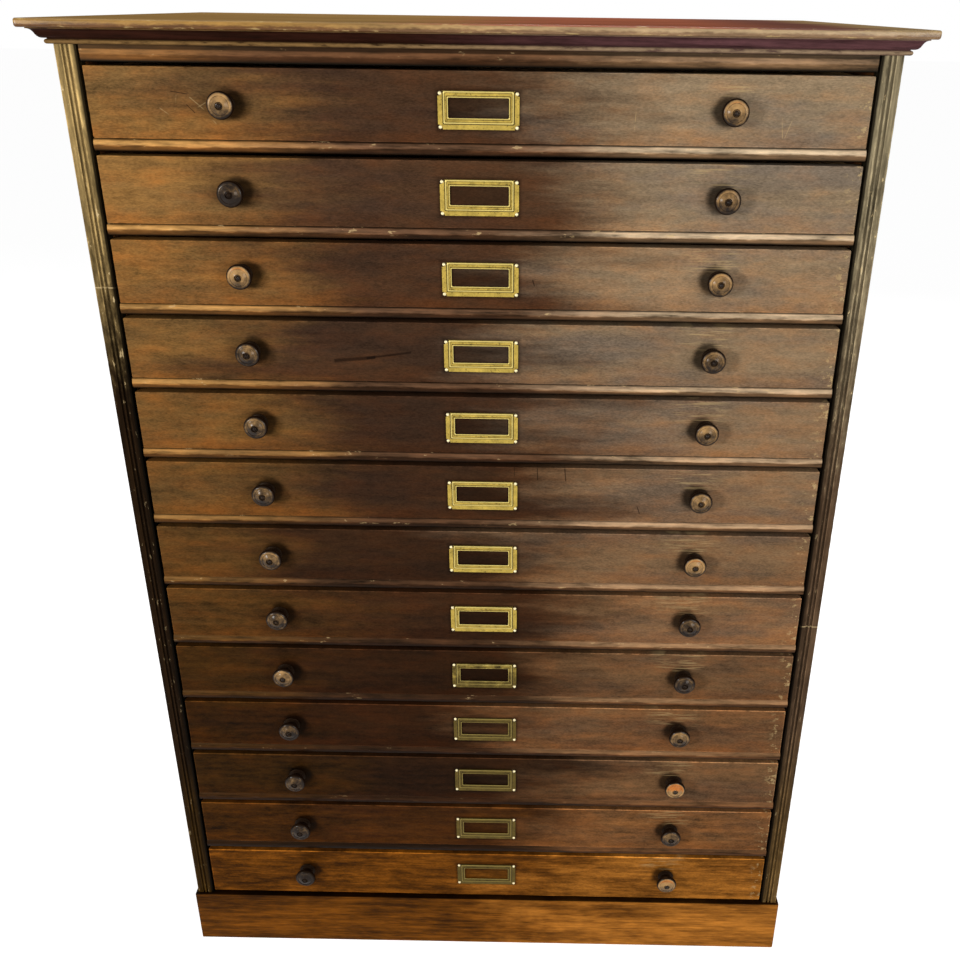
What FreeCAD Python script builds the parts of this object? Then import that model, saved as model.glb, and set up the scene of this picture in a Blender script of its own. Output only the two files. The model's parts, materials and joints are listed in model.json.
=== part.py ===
"""Floor standing collector's cabinet with thirteen shallow drawers, in millimetres.

X runs across the front, Y from front to back and Z up. The origin is on the floor, under
the middle of the top board. Every drawer is drawn closed, with its lower edge at z = 0, and
is then lifted to its own opening.
"""

import FreeCAD, Part
import math
import os
import re

import Sketcher

Vector = FreeCAD.Vector

# Driving sizes: name, value in millimetres, meaning
SIZES = [
    # Case
    ("case_width", 914, "across the outsides of the side panels"),
    ("case_depth", 610, "front of the stiles to the back of the case"),
    ("side_thick", 26, "side panel, and the moulded stile that covers its front edge"),
    ("drawer_count", 13, "drawers, one above the other"),
    ("opening_height", 79.4, "height of each drawer opening"),
    ("rail_thick", 14.5, "drawer rails, runners and base board"),
    ("rail_depth", 60, "front to back size of a rail"),
    ("rail_nose", 3.5, "depth of a rail's rounded front edge"),
    ("tongue_depth", 8, "how far rails and runners are housed in the side panels"),
    ("frieze_height", 21.5, "plain rail above the top drawer"),
    ("runner_width", 22, "how far a runner stands in from the side panel"),
    ("back_thick", 10, "back boards"),
    ("back_rebate", 12, "how far the back boards lie over the side panels"),
    ("back_boards", 5, "upright boards that close the back"),
    ("board_gap", 0.6, "shrinkage gap between two back boards"),
    # Moulded stiles
    ("stile_depth", 14, "thickness of the stile strip"),
    ("quirk_width", 2, "narrow step along the inner edge of a stile"),
    ("quirk_depth", 5, "depth of that step"),
    ("reed_width", 2.8, "round bead along the middle of a stile"),
    ("reed_groove", 2.4, "width of the groove on each side of the bead"),
    ("reed_depth", 2.2, "depth of those grooves"),
    # Top board and cornice
    ("lip_thick", 9, "edge of the top board that shows"),
    ("lip_overhang", 27, "reach of that edge beyond the case"),
    ("lip_round", 3, "rounding of the edge"),
    ("core_thick", 12.5, "thicker middle of the top board, inside the cornice"),
    ("cornice_height", 16.5, "height of the cornice moulding"),
    ("ogee_reach", 19, "reach of the ogee at its top"),
    ("ogee_foot", 6.5, "reach of the ogee at its foot"),
    ("ogee_radius", 7, "swell of the ogee's lower half and hollow of its upper half"),
    ("ogee_fillet", 1.2, "flat edge above the ogee"),
    ("bead_reach", 6.5, "reach of the half round bead under the ogee"),
    ("bead_height", 5, "height of that bead"),
    ("bead_quirk", 0.8, "sunk line between the bead and the ogee"),
    # Plinth
    ("plinth_height", 95, "floor to the underside of the case"),
    ("plinth_proud", 4, "reach of the plinth beyond the case"),
    ("plinth_thick", 18, "plinth boards"),
    ("block_size", 40, "three cornered glue blocks inside the plinth"),
    ("block_drop", 12, "how far the glue blocks stop short of the plinth's top and foot"),
    # Drawers
    ("side_gap", 1, "drawer to stile, on each side"),
    ("top_gap", 3.8, "drawer front to the rail above it"),
    ("run_gap", 0.4, "drawer to the rail and runners under it"),
    ("rear_gap", 25, "tray to the back boards"),
    ("front_thick", 20, "drawer front"),
    ("base_cover", 9.5, "how far the lowest drawer's front hangs over the base board's edge"),
    ("front_round", 1.2, "easing of the drawer front's edges"),
    ("front_lap", 7, "wood left in front of the dovetails"),
    ("wall_thick", 10, "sides and back of a tray"),
    ("wall_drop", 2, "tray sides below the top of the front"),
    ("back_drop", 3, "tray back below the tray sides"),
    ("bottom_thick", 6, "bottom panel of a tray"),
    ("bottom_rise", 6, "underside of that panel above the drawer's lower edge"),
    ("groove_depth", 4, "grooves and rebates that hold the tray's bottom and back"),
    ("tail_count", 3, "dovetails at each front corner"),
    ("tail_pin", 6, "pin between two dovetails at its wide end"),
    ("tail_run", 6, "length over which a dovetail's flank slopes by one"),
    # Drawer stops
    ("stop_width", 40, "drawer stop along the rail"),
    ("stop_depth", 18, "drawer stop front to back"),
    ("stop_height", 5, "drawer stop above the rail"),
    ("stop_gap", 0.3, "closed drawer front to its stops"),
    ("stop_inset", 130, "drawer stop to the side of the opening"),
    # Turned knobs
    ("knob_spacing", 558, "between the middles of the two knobs"),
    ("knob_head", 30, "diameter of the head"),
    ("knob_neck", 17, "diameter of the neck"),
    ("knob_neck_length", 12, "drawer front to the back of the head"),
    ("knob_reach", 24.5, "reach of the knob from the drawer front"),
    # Brass label holders
    ("label_width", 90, "outside width of the flange"),
    ("label_height", 40.4, "outside height of the holder"),
    ("label_fall", 3, "holder below the middle of the drawer front"),
    ("label_sheet", 0.8, "thickness of the brass"),
    ("label_reach", 2.4, "raised frame from the drawer front"),
    ("flange_width", 6.2, "flange at the left, right and bottom"),
    ("window_width", 67, "window"),
    ("window_height", 21.2, "window"),
    ("top_band", 7, "raised frame above the window"),
]

# Places worked out from the driving sizes
PLACES = {
    "case_front": "lip_overhang / 2 - case_depth / 2",
    "case_back": "case_front + case_depth",
    "half_case": "case_width / 2",
    "half_opening": "half_case - side_thick",
    "half_tongue": "half_opening + tongue_depth",
    "stile_back": "case_front + stile_depth",
    "rail_back": "case_front + rail_depth",
    "board_front": "case_back - back_thick",
    "drawer_pitch": "opening_height + rail_thick",
    "base_top": "plinth_height + rail_thick",
    "frieze_foot": "plinth_height + drawer_count * drawer_pitch",
    "core_foot": "frieze_foot + frieze_height",
    "lip_foot": "core_foot + core_thick",
    "cornice_foot": "lip_foot - cornice_height",
    "ogee_low": "cornice_foot + bead_height + bead_quirk",
    "ogee_high": "lip_foot - ogee_fillet",
    "board_pitch": "2 * (half_opening + back_rebate) / back_boards",
    "reed_start": "half_case - (side_thick - quirk_width - reed_width) / 2 + reed_groove",
    "reed_first": "reed_start - reed_groove",
    "reed_middle": "reed_first - reed_width / 2",
    "reed_last": "reed_first - reed_width",
    "reed_end": "reed_last - reed_groove",
    "half_plinth": "half_case + plinth_proud",
    "plinth_front": "case_front - plinth_proud",
    "half_front": "half_opening - side_gap",
    "front_height": "opening_height - run_gap - top_gap",
    "front_back": "case_front + front_thick",
    "half_inside": "half_front - wall_thick",
    "half_bottom": "half_inside + groove_depth",
    "tray_back": "board_front - rear_gap",
    "back_face": "tray_back - wall_thick",
    "wall_height": "front_height - wall_drop",
    "bottom_top": "bottom_rise + bottom_thick",
    "back_top": "wall_height - back_drop",
    "tail_end": "case_front + front_lap",
    "tail_slant": "(front_thick - front_lap) / tail_run",
    "tail_pitch": "(wall_height - bottom_top) / tail_count",
    "stop_front": "front_back + stop_gap",
    "stop_outer": "half_opening - stop_inset",
    "label_middle": "front_height / 2 - label_fall",
    "label_top": "label_middle + label_height / 2",
    "label_foot": "label_middle - label_height / 2",
    "window_top": "label_top - top_band",
    "frame_half": "label_width / 2 - flange_width",
}


def bind(formula):
    """The formula with each place worked out and each size named as a cell of the sheet."""

    def swap(word):
        name = word.group()
        if name in PLACES:
            return "(" + bind(PLACES[name]) + ")"
        return "sheet." + name if name in VALUES else name

    return re.sub(r"[a-z_]+", swap, formula)


def value(formula):
    """The number that a formula gives with the sizes as they stand in the sheet."""
    return float(sheet.evalExpression(bind(formula)))


def new_body(name):
    """An empty body, which may hold a row of equal pieces that don't touch."""
    body = doc.addObject("PartDesign::Body", name)
    body.AllowCompound = True
    return body


def origin_feature(body, role):
    """One of the body's own origin planes or axes."""
    return next(item for item in body.Origin.OriginFeatures if item.Role == role)


def curve_between(first, last, radius, side):
    """Short arc from first to last, its centre on the left (side 1) or right (side -1).

    The second result tells whether the arc's own first end is the one called first.
    """
    chord = last - first
    left = Vector(-chord.y, chord.x, 0).normalize()
    middle = (first + last) * 0.5
    centre = middle + left * side * math.sqrt(max(radius**2 - chord.Length**2 / 4, 0))
    ends = (first, last) if side > 0 else (last, first)
    angles = [math.atan2((end - centre).y, (end - centre).x) for end in ends]
    circle = Part.Circle(centre, Vector(0, 0, 1), radius)
    return Part.ArcOfCircle(circle, angles[0], angles[1]), side > 0


def outline(body, name, plane, corners, lift):
    """Closed outline on one of the body's origin planes, moved by lift along its normal.

    Each corner is a pair of formulas. A third and fourth item make the edge to the next
    corner an arc: its radius, and the side on which its centre lies.
    """
    sketch = body.newObject("Sketcher::SketchObject", name)
    sketch.AttachmentSupport = [(origin_feature(body, plane), "")]
    sketch.MapMode = "FlatFace"
    sketch.setExpression("AttachmentOffset.Base.z", bind(lift))
    points = [Vector(value(corner[0]), value(corner[1]), 0) for corner in corners]
    count = len(points)
    forward = []
    for index, corner in enumerate(corners):
        first, last = points[index], points[(index + 1) % count]
        if len(corner) > 2:
            curve, ahead = curve_between(first, last, value(corner[2]), corner[3])
        else:
            curve, ahead = Part.LineSegment(first, last), True
        sketch.addGeometry(curve)
        forward.append(ahead)
    start_of = [1 if ahead else 2 for ahead in forward]
    for index in range(count):
        after = (index + 1) % count
        joint = Sketcher.Constraint("Coincident", index, 3 - start_of[index], after, start_of[after])
        sketch.addConstraint(joint)
    for index, corner in enumerate(corners):
        before = index - 1
        straight = index > 0 and len(corners[before]) == 2
        for axis, along in enumerate(("Vertical", "Horizontal")):
            if straight and corner[axis] == corners[before][axis]:
                sketch.addConstraint(Sketcher.Constraint(along, before))
                continue
            kind = ("DistanceX", "DistanceY")[axis]
            size = Sketcher.Constraint(kind, -1, 1, index, start_of[index], points[index][axis])
            number = sketch.addConstraint(size)
            sketch.setExpression("Constraints[%d]" % number, bind(corner[axis]))
        if len(corner) > 2:
            number = sketch.addConstraint(Sketcher.Constraint("Radius", index, value(corner[2])))
            sketch.setExpression("Constraints[%d]" % number, bind(corner[2]))
    return sketch


def box_corners(low_x, low_y, high_x, high_y):
    """The four corners of an upright rectangle, in order round it."""
    return [(low_x, low_y), (high_x, low_y), (high_x, high_y), (low_x, high_y)]


def prism(body, name, plane, corners, start, finish, cut=False):
    """An outline carried from start to finish along the axis that its plane faces."""
    turned = plane == "XZ_Plane"
    lift = "-(%s)" % start if turned else start
    kind = "PartDesign::Pocket" if cut else "PartDesign::Pad"
    sketch = outline(body, name + "_outline", plane, corners, lift)
    feature = body.newObject(kind, name)
    feature.Profile = sketch
    feature.setExpression("Length", bind("(%s) - (%s)" % (finish, start)))
    feature.Reversed = turned != cut
    body.Tip = feature
    return feature


def row(body, name, features, axis, length, count):
    """The features repeated in a row along one of the body's axes."""
    pattern = body.newObject("PartDesign::LinearPattern", name)
    pattern.Originals = features
    pattern.Direction = (origin_feature(body, axis), [""])
    pattern.setExpression("Length", bind(length))
    pattern.setExpression("Occurrences", bind(count))
    body.Tip = pattern
    return pattern


def mirrored(body, name):
    """The same piece on the other side of the cabinet's middle plane."""
    mirror = doc.addObject("Part::Mirroring", name)
    mirror.Source = body
    mirror.Normal = Vector(1, 0, 0)
    return mirror


def make_rail(name, face, foot, head):
    """A rail: its face stands between the stiles, and its tongues behind them."""
    body = new_body(name)
    front = prism(body, name + "_face", "YZ_Plane", face, "-half_opening", "half_opening")
    tongue = box_corners("stile_back", foot, "rail_back", head)
    web = prism(body, name + "_web", "YZ_Plane", tongue, "-half_tongue", "half_tongue")
    return body, [front, web]


def make_drawer_rails():
    """The rails between the drawers, one below each drawer but the lowest, with rounded noses."""
    foot = "plinth_height + drawer_pitch"
    head = foot + " + rail_thick"
    start = "case_front + rail_nose"
    radius = "(rail_thick ^ 2 / 4 + rail_nose ^ 2) / (2 * rail_nose)"
    nose = [("stile_back", head), (start, head, radius, 1), (start, foot), ("stile_back", foot)]
    body, features = make_rail("rail", nose, foot, head)
    row(body, "rail_row", features, "Z_Axis", "(drawer_count - 2) * drawer_pitch", "drawer_count - 1")
    return body


def make_frieze():
    """The plain rail above the top drawer."""
    face = box_corners("case_front", "frieze_foot", "stile_back", "core_foot")
    return make_rail("frieze", face, "frieze_foot", "core_foot")[0]


def make_base_board():
    """The bottom of the case, which the lowest drawer runs on, set back behind its front."""
    body = new_body("base_board")
    board = box_corners("stop_front", "plinth_height", "board_front", "base_top")
    prism(body, "bottom_board", "YZ_Plane", board, "-half_tongue", "half_tongue")
    return body


def make_side_panel():
    """Left side panel, housed for the rails and runners and rebated for the back boards."""
    body = new_body("side_panel")
    board = box_corners("stile_back", "plinth_height", "case_back", "core_foot")
    prism(body, "panel_board", "YZ_Plane", board, "-half_case", "-half_opening")
    housing = box_corners("stile_back", "plinth_height", "board_front", "base_top")
    dado = prism(body, "housing", "YZ_Plane", housing, "-half_tongue", "-half_opening", cut=True)
    row(body, "housing_row", [dado], "Z_Axis", "(drawer_count - 1) * drawer_pitch", "drawer_count")
    top = box_corners("stile_back", "frieze_foot", "rail_back", "core_foot")
    prism(body, "frieze_housing", "YZ_Plane", top, "-half_tongue", "-half_opening", cut=True)
    rebate = box_corners("-half_opening - back_rebate", "board_front", "-half_opening", "case_back")
    prism(body, "rebate", "XY_Plane", rebate, "plinth_height", "core_foot", cut=True)
    return body


def make_stile():
    """Left stile: two flat bands with a sunk bead between them, and a step beside the drawers."""
    groove_floor = "case_front + reed_depth"
    reed_side = "case_front + reed_width / 2"
    step = "-half_opening - quirk_width"
    section = [
        ("-half_case", "stile_back"),
        ("-half_case", "case_front"),
        ("-reed_start", "case_front"),
        ("-reed_start", groove_floor),
        ("-reed_first", groove_floor),
        ("-reed_first", reed_side, "reed_width / 2", -1),
        ("-reed_middle", "case_front", "reed_width / 2", -1),
        ("-reed_last", reed_side),
        ("-reed_last", groove_floor),
        ("-reed_end", groove_floor),
        ("-reed_end", "case_front"),
        (step, "case_front"),
        (step, "case_front + quirk_depth"),
        ("-half_opening", "case_front + quirk_depth"),
        ("-half_opening", "stile_back"),
    ]
    body = new_body("stile")
    prism(body, "stile_strip", "XY_Plane", section[::-1], "plinth_height", "core_foot")
    return body


def make_runners():
    """Left runners, one behind each rail end, and the strip that keeps the top drawer level."""
    body = new_body("runner")
    foot = "plinth_height + drawer_pitch"
    inner = "runner_width - half_opening"
    section = box_corners("rail_back", foot, "board_front", foot + " + rail_thick")
    strip = prism(body, "runner_strip", "YZ_Plane", section, "-half_tongue", inner)
    row(body, "runner_row", [strip], "Z_Axis", "(drawer_count - 2) * drawer_pitch", "drawer_count - 1")
    keeper = box_corners("rail_back", "frieze_foot", "board_front", "core_foot")
    prism(body, "kicker", "YZ_Plane", keeper, "-half_opening", inner)
    return body


def make_stops():
    """Left drawer stops, glued on the rails behind the drawer fronts."""
    body = new_body("stop")
    section = box_corners("-stop_outer", "stop_front", "stop_width - stop_outer", "stop_front + stop_depth")
    block = prism(body, "stop_block", "XY_Plane", section, "base_top", "base_top + stop_height")
    row(body, "stop_row", [block], "Z_Axis", "(drawer_count - 1) * drawer_pitch", "drawer_count")
    return body


def make_back_boards():
    """Upright back boards, side by side in the side panels' rebates."""
    body = new_body("back_board")
    left = "-half_opening - back_rebate"
    section = box_corners(left, "board_front", left + " + board_pitch - board_gap", "case_back")
    board = prism(body, "board", "XY_Plane", section, "plinth_height", "core_foot")
    row(body, "board_row", [board], "X_Axis", "(back_boards - 1) * board_pitch", "back_boards")
    return body


def edges_of(shape, wanted):
    """Names of the edges whose middle passes the test."""
    names = []
    for number, edge in enumerate(shape.Edges, 1):
        middle = edge.valueAt((edge.FirstParameter + edge.LastParameter) / 2)
        if wanted(middle):
            names.append("Edge%d" % number)
    return names


def make_top_board():
    """Top board: a thin rounded lip that overhangs the front and sides of a thicker core."""
    body = new_body("top")
    front, edge = "case_front - lip_overhang", "half_case + lip_overhang"
    lip = box_corners("-(%s)" % edge, front, edge, "case_back")
    prism(body, "lip", "XY_Plane", lip, "lip_foot", "lip_foot + lip_thick")
    core = box_corners("-half_case", "case_front", "half_case", "case_back")
    board = prism(body, "core", "XY_Plane", core, "core_foot", "lip_foot")
    doc.recompute()
    levels = (value("lip_foot"), value("lip_foot + lip_thick"))
    half, face = value(edge), value(front)

    def on_rim(point):
        level = min(abs(point.z - height) for height in levels) < 0.01
        return level and (abs(abs(point.x) - half) < 0.01 or abs(point.y - face) < 0.01)

    rounding = body.newObject("PartDesign::Fillet", "lip_rounding")
    rounding.Base = (board, edges_of(board.Shape, on_rim))
    rounding.setExpression("Radius", bind("lip_round"))
    body.Tip = rounding
    return body


def cornice_section(face):
    """Ogee over a half round bead, which reach out from the case towards lower values."""
    bead = "bead_height / 2"
    start = face + " - (bead_reach - bead_height / 2)"
    return [
        (face, "cornice_foot"),
        (start, "cornice_foot", bead, -1),
        (face + " - bead_reach", "cornice_foot + bead_height / 2", bead, -1),
        (start, "cornice_foot + bead_height"),
        (start, "ogee_low"),
        (face + " - ogee_foot", "ogee_low", "ogee_radius", -1),
        (face + " - (ogee_foot + ogee_reach) / 2", "(ogee_low + ogee_high) / 2", "ogee_radius", 1),
        (face + " - ogee_reach", "ogee_high"),
        (face + " - ogee_reach", "lip_foot"),
        (face, "lip_foot"),
    ]


def make_cornice_front():
    """Front length of the cornice, mitred at both ends."""
    body = new_body("cornice_front")
    end = "half_case + ogee_reach"
    section = cornice_section("case_front")
    prism(body, "front_length", "YZ_Plane", section, "-(%s)" % end, end)
    for side, sign in (("left", "-"), ("right", "")):
        waste = [
            (sign + "half_case", "case_front"),
            (sign + "(%s)" % end, "case_front - ogee_reach"),
            (sign + "(%s)" % end, "case_front"),
        ]
        prism(body, side + "_mitre", "XY_Plane", waste, "cornice_foot", "lip_foot", cut=True)
    return body


def make_cornice_return():
    """Left return of the cornice, mitred at the front and square at the back."""
    body = new_body("cornice_return")
    section = cornice_section("-half_case")
    prism(body, "return_length", "XZ_Plane", section, "case_front - ogee_reach", "case_back")
    waste = [
        ("-half_case", "case_front"),
        ("-half_case - ogee_reach", "case_front - ogee_reach"),
        ("-half_case", "case_front - ogee_reach"),
    ]
    prism(body, "return_mitre", "XY_Plane", waste, "cornice_foot", "lip_foot", cut=True)
    return body


def make_plinth():
    """Plinth boards, mitred at the front corners, and a glue block in each corner."""
    inner, front = "half_plinth - plinth_thick", "plinth_front + plinth_thick"
    front_corners = [
        ("-half_plinth", "plinth_front"),
        ("half_plinth", "plinth_front"),
        (inner, front),
        ("-(%s)" % inner, front),
    ]
    side_corners = [
        ("-half_plinth", "plinth_front"),
        ("-(%s)" % inner, front),
        ("-(%s)" % inner, "case_back"),
        ("-half_plinth", "case_back"),
    ]
    back = "case_back - plinth_thick"
    back_corners = box_corners("-(%s)" % inner, back, inner, "case_back")
    edge = "-(%s)" % inner
    blocks = {
        "front_block": [(edge, front), (edge + " + block_size", front), (edge, front + " + block_size")],
        "back_block": [(edge, back), (edge, back + " - block_size"), (edge + " + block_size", back)],
    }
    boards = {"plinth_face": front_corners, "plinth_side": side_corners, "plinth_rear": back_corners}
    bodies = {}
    for name, corners in boards.items():
        bodies[name] = new_body(name)
        prism(bodies[name], name + "_board", "XY_Plane", corners, "0", "plinth_height")
    for name, corners in blocks.items():
        bodies[name] = new_body(name)
        prism(bodies[name], name + "_wedge", "XY_Plane", corners, "block_drop", "plinth_height - block_drop")
    pieces = list(bodies.values())
    for name in ("plinth_side", "front_block", "back_block"):
        pieces.append(mirrored(bodies[name], name + "_right"))
    return pieces


def dovetails(body, name, start, finish, cut):
    """A stack of lapped dovetails, added to a tray side or cut out of the drawer front."""
    low = "bottom_top + tail_pin / 2"
    high = "bottom_top + tail_pitch - tail_pin / 2"
    corners = [
        ("tail_end", low),
        ("front_back", low + " + tail_slant"),
        ("front_back", high + " - tail_slant"),
        ("tail_end", high),
    ]
    tail = prism(body, name, "YZ_Plane", corners, start, finish, cut)
    row(body, name + "_row", [tail], "Z_Axis", "(tail_count - 1) * tail_pitch", "tail_count")


def make_drawer_front(name, foot):
    """Drawer front: eased edges, a groove for the bottom, and sockets for the dovetails."""
    body = new_body(name)
    face = box_corners("-half_front", foot, "half_front", "front_height")
    board = prism(body, "front_board", "XZ_Plane", face, "case_front", "front_back")
    doc.recompute()
    level = value("case_front")
    easing = body.newObject("PartDesign::Chamfer", "front_easing")
    easing.Base = (board, edges_of(board.Shape, lambda point: abs(point.y - level) < 0.01))
    easing.setExpression("Size", bind("front_round"))
    body.Tip = easing
    dovetails(body, "left_socket", "-half_front", "-half_inside", cut=True)
    dovetails(body, "right_socket", "half_inside", "half_front", cut=True)
    groove = box_corners("front_back - groove_depth", "bottom_rise", "front_back", "bottom_top")
    prism(body, "front_groove", "YZ_Plane", groove, "-half_bottom", "half_bottom", cut=True)
    return body


def make_tray_side():
    """Left side of a tray: dovetailed at the front, rebated for the back, grooved below."""
    body = new_body("tray_side")
    board = box_corners("front_back", "0", "tray_back", "wall_height")
    prism(body, "side_board", "YZ_Plane", board, "-half_front", "-half_inside")
    dovetails(body, "front_tail", "-half_front", "-half_inside", cut=False)
    groove = box_corners("front_back", "bottom_rise", "tray_back", "bottom_top")
    prism(body, "side_groove", "YZ_Plane", groove, "-half_bottom", "-half_inside", cut=True)
    rebate = box_corners("back_face", "bottom_top", "tray_back", "wall_height")
    prism(body, "side_rebate", "YZ_Plane", rebate, "-half_bottom", "-half_inside", cut=True)
    return body


def make_tray_back():
    """Back of a tray: it stands on the bottom panel, between the rebated ends of the sides."""
    body = new_body("tray_rear")
    board = box_corners("-half_bottom", "bottom_top", "half_bottom", "back_top")
    prism(body, "rear_board", "XZ_Plane", board, "back_face", "tray_back")
    return body


def make_tray_bottom():
    """Bottom panel, slid into the grooves from behind, under the back."""
    body = new_body("tray_floor")
    panel = box_corners("-half_bottom", "front_back - groove_depth", "half_bottom", "tray_back")
    prism(body, "panel", "XY_Plane", panel, "bottom_rise", "bottom_top")
    return body


def make_knob():
    """Right knob, turned to one profile: a neck and a wider head."""
    body = new_body("knob")
    shoulder = "case_front - knob_neck_length"
    profile = [
        ("0", "case_front"),
        ("knob_neck / 2", "case_front"),
        ("knob_neck / 2", shoulder),
        ("knob_head / 2", shoulder),
        ("knob_head / 2", "case_front - knob_reach"),
        ("0", "case_front - knob_reach"),
    ]
    sketch = outline(body, "knob_profile", "XY_Plane", profile, "front_height / 2")
    sketch.setExpression("AttachmentOffset.Base.x", bind("knob_spacing / 2"))
    turning = body.newObject("PartDesign::Revolution", "knob_turning")
    turning.Profile = sketch
    turning.ReferenceAxis = (sketch, ["V_Axis"])
    turning.Angle = 360
    body.Tip = turning
    return body


def make_label_holder():
    """Pressed brass holder: a flange on three sides and a raised frame open at the top."""
    body = new_body("label")
    frame_foot = "label_foot + flange_width"
    wall = "frame_half - label_sheet"
    plate = box_corners("-label_width / 2", "label_foot", "label_width / 2", "label_top")
    prism(body, "flange", "XZ_Plane", plate, "case_front - label_sheet", "case_front")
    frame = box_corners("-frame_half", frame_foot, "frame_half", "label_top")
    prism(body, "raised_frame", "XZ_Plane", frame, "case_front - label_reach", "case_front")
    window = box_corners("-window_width / 2", "window_top - window_height", "window_width / 2", "window_top")
    prism(body, "window", "XZ_Plane", window, "case_front - label_reach", "case_front", cut=True)
    pocket = box_corners("-(%s)" % wall, frame_foot + " + label_sheet", wall, "label_top")
    inner = "case_front - label_reach + label_sheet"
    prism(body, "card_pocket", "XZ_Plane", pocket, inner, "case_front", cut=True)
    return body


def make_node(name, pieces, lift=None):
    """A named sub-part: one or more pieces, lifted to its place where that differs."""
    node = doc.addObject("Part::Compound", name)
    node.Label = name
    node.Links = pieces
    if lift:
        node.setExpression("Placement.Base.z", bind(lift))
    return node


def with_mirror(body):
    """A piece and its mirror image."""
    return [body, mirrored(body, body.Name + "_right")]


def build_case():
    """The case, from the plinth up."""
    side_panels = with_mirror(make_side_panel())
    runners = with_mirror(make_runners()) + with_mirror(make_stops())
    cornice = [make_cornice_front()] + with_mirror(make_cornice_return())
    return [
        make_node("plinth", make_plinth()),
        make_node("case_panels", side_panels + [make_base_board()]),
        make_node("moulded_stiles", with_mirror(make_stile())),
        make_node("drawer_rails", [make_drawer_rails(), make_frieze()]),
        make_node("runners_and_stops", runners),
        make_node("back_boards", [make_back_boards()]),
        make_node("top_board", [make_top_board()]),
        make_node("cornice_moulding", cornice),
    ]


def build_drawers():
    """The drawers, numbered from the top: front, tray, knobs and label holder of each."""
    pieces = {
        "front": [make_drawer_front("front", "0")],
        "tray": with_mirror(make_tray_side()) + [make_tray_back(), make_tray_bottom()],
        "knobs": with_mirror(make_knob()),
        "label_holder": [make_label_holder()],
    }
    lowest = dict(pieces, front=[make_drawer_front("lowest_front", "-base_cover")])
    nodes = []
    count = int(value("drawer_count"))
    for number in range(1, count + 1):
        lift = "base_top + run_gap + (drawer_count - %d) * drawer_pitch" % number
        for part, solids in (lowest if number == count else pieces).items():
            nodes.append(make_node("drawer_%02d_%s" % (number, part), solids, lift))
    return nodes


def check():
    """Stop if a feature failed, a cut removed nothing, or a sub-part isn't sound."""
    for item in doc.Objects:
        if {"Invalid", "Error"} & set(item.State):
            raise RuntimeError("%s failed: %s" % (item.Name, item.State))
        if item.TypeId == "PartDesign::Pocket":
            if item.Shape.Volume > item.BaseFeature.Shape.Volume - 0.001:
                raise RuntimeError("%s cuts nothing" % item.Name)
    for node in nodes:
        if node.Shape.isNull() or not node.Shape.isValid() or not node.Shape.Solids:
            raise RuntimeError("%s isn't a sound solid" % node.Label)


VALUES = {name: size for name, size, meaning in SIZES}
doc = FreeCAD.newDocument("cabinet")
sheet = doc.addObject("Spreadsheet::Sheet", "sheet")
for line, (name, size, meaning) in enumerate(SIZES, 1):
    sheet.set("A%d" % line, name)
    sheet.set("B%d" % line, str(size))
    sheet.set("C%d" % line, meaning)
    sheet.setAlias("B%d" % line, name)
doc.recompute()

nodes = build_case() + build_drawers()
doc.recompute()
check()

os.makedirs("parts", exist_ok=True)
for node in nodes:
    node.Shape.exportStep("parts/%s.step" % node.Label)
print("%d sub-parts, %d solids" % (len(nodes), sum(len(node.Shape.Solids) for node in nodes)))
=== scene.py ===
# %% [markdown]
# # An old cabinet of thirteen drawers
#
# The imported model already holds every board of this cabinet at its true size. This lesson
# gives it the look of old polished mahogany: soft worn edges, turned knobs, pressed brass
# label holders, and a finish that is faded in some places and dark in others, partly from
# hands and partly painted light and shade.

# %% Load the cabinet
import json
import math
import bpy
import numpy as np
from mathutils import Matrix, Vector

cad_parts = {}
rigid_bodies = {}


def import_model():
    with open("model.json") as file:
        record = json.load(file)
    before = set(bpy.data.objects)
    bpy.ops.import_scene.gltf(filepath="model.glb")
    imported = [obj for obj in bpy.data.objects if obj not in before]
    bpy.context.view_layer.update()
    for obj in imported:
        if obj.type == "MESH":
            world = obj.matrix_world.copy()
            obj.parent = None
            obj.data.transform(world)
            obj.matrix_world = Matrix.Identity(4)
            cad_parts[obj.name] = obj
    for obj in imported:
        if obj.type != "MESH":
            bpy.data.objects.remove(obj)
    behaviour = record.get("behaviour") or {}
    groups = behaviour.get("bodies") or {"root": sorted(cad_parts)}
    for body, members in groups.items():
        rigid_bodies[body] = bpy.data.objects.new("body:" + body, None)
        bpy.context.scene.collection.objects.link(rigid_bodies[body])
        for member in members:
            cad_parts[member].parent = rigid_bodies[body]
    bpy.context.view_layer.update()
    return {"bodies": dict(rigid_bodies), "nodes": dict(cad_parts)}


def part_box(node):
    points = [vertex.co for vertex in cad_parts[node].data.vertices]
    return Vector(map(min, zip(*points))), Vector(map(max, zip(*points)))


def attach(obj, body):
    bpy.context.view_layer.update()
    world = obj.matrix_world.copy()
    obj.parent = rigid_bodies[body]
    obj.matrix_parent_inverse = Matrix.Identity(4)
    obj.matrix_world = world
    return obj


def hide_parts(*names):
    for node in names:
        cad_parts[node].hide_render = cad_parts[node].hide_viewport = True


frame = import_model()
MM = 0.001
DRAWERS = sorted(name for name in frame["bodies"] if name.startswith("drawer_"))

# %% [markdown]
# ## Where things are
#
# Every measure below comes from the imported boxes, so the new surfaces land exactly on the
# boards they stand for.

# %% Measure the frame
def corners(node):
    """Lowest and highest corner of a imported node, as arrays."""
    low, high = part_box(node)
    return np.array(low), np.array(high)


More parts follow.
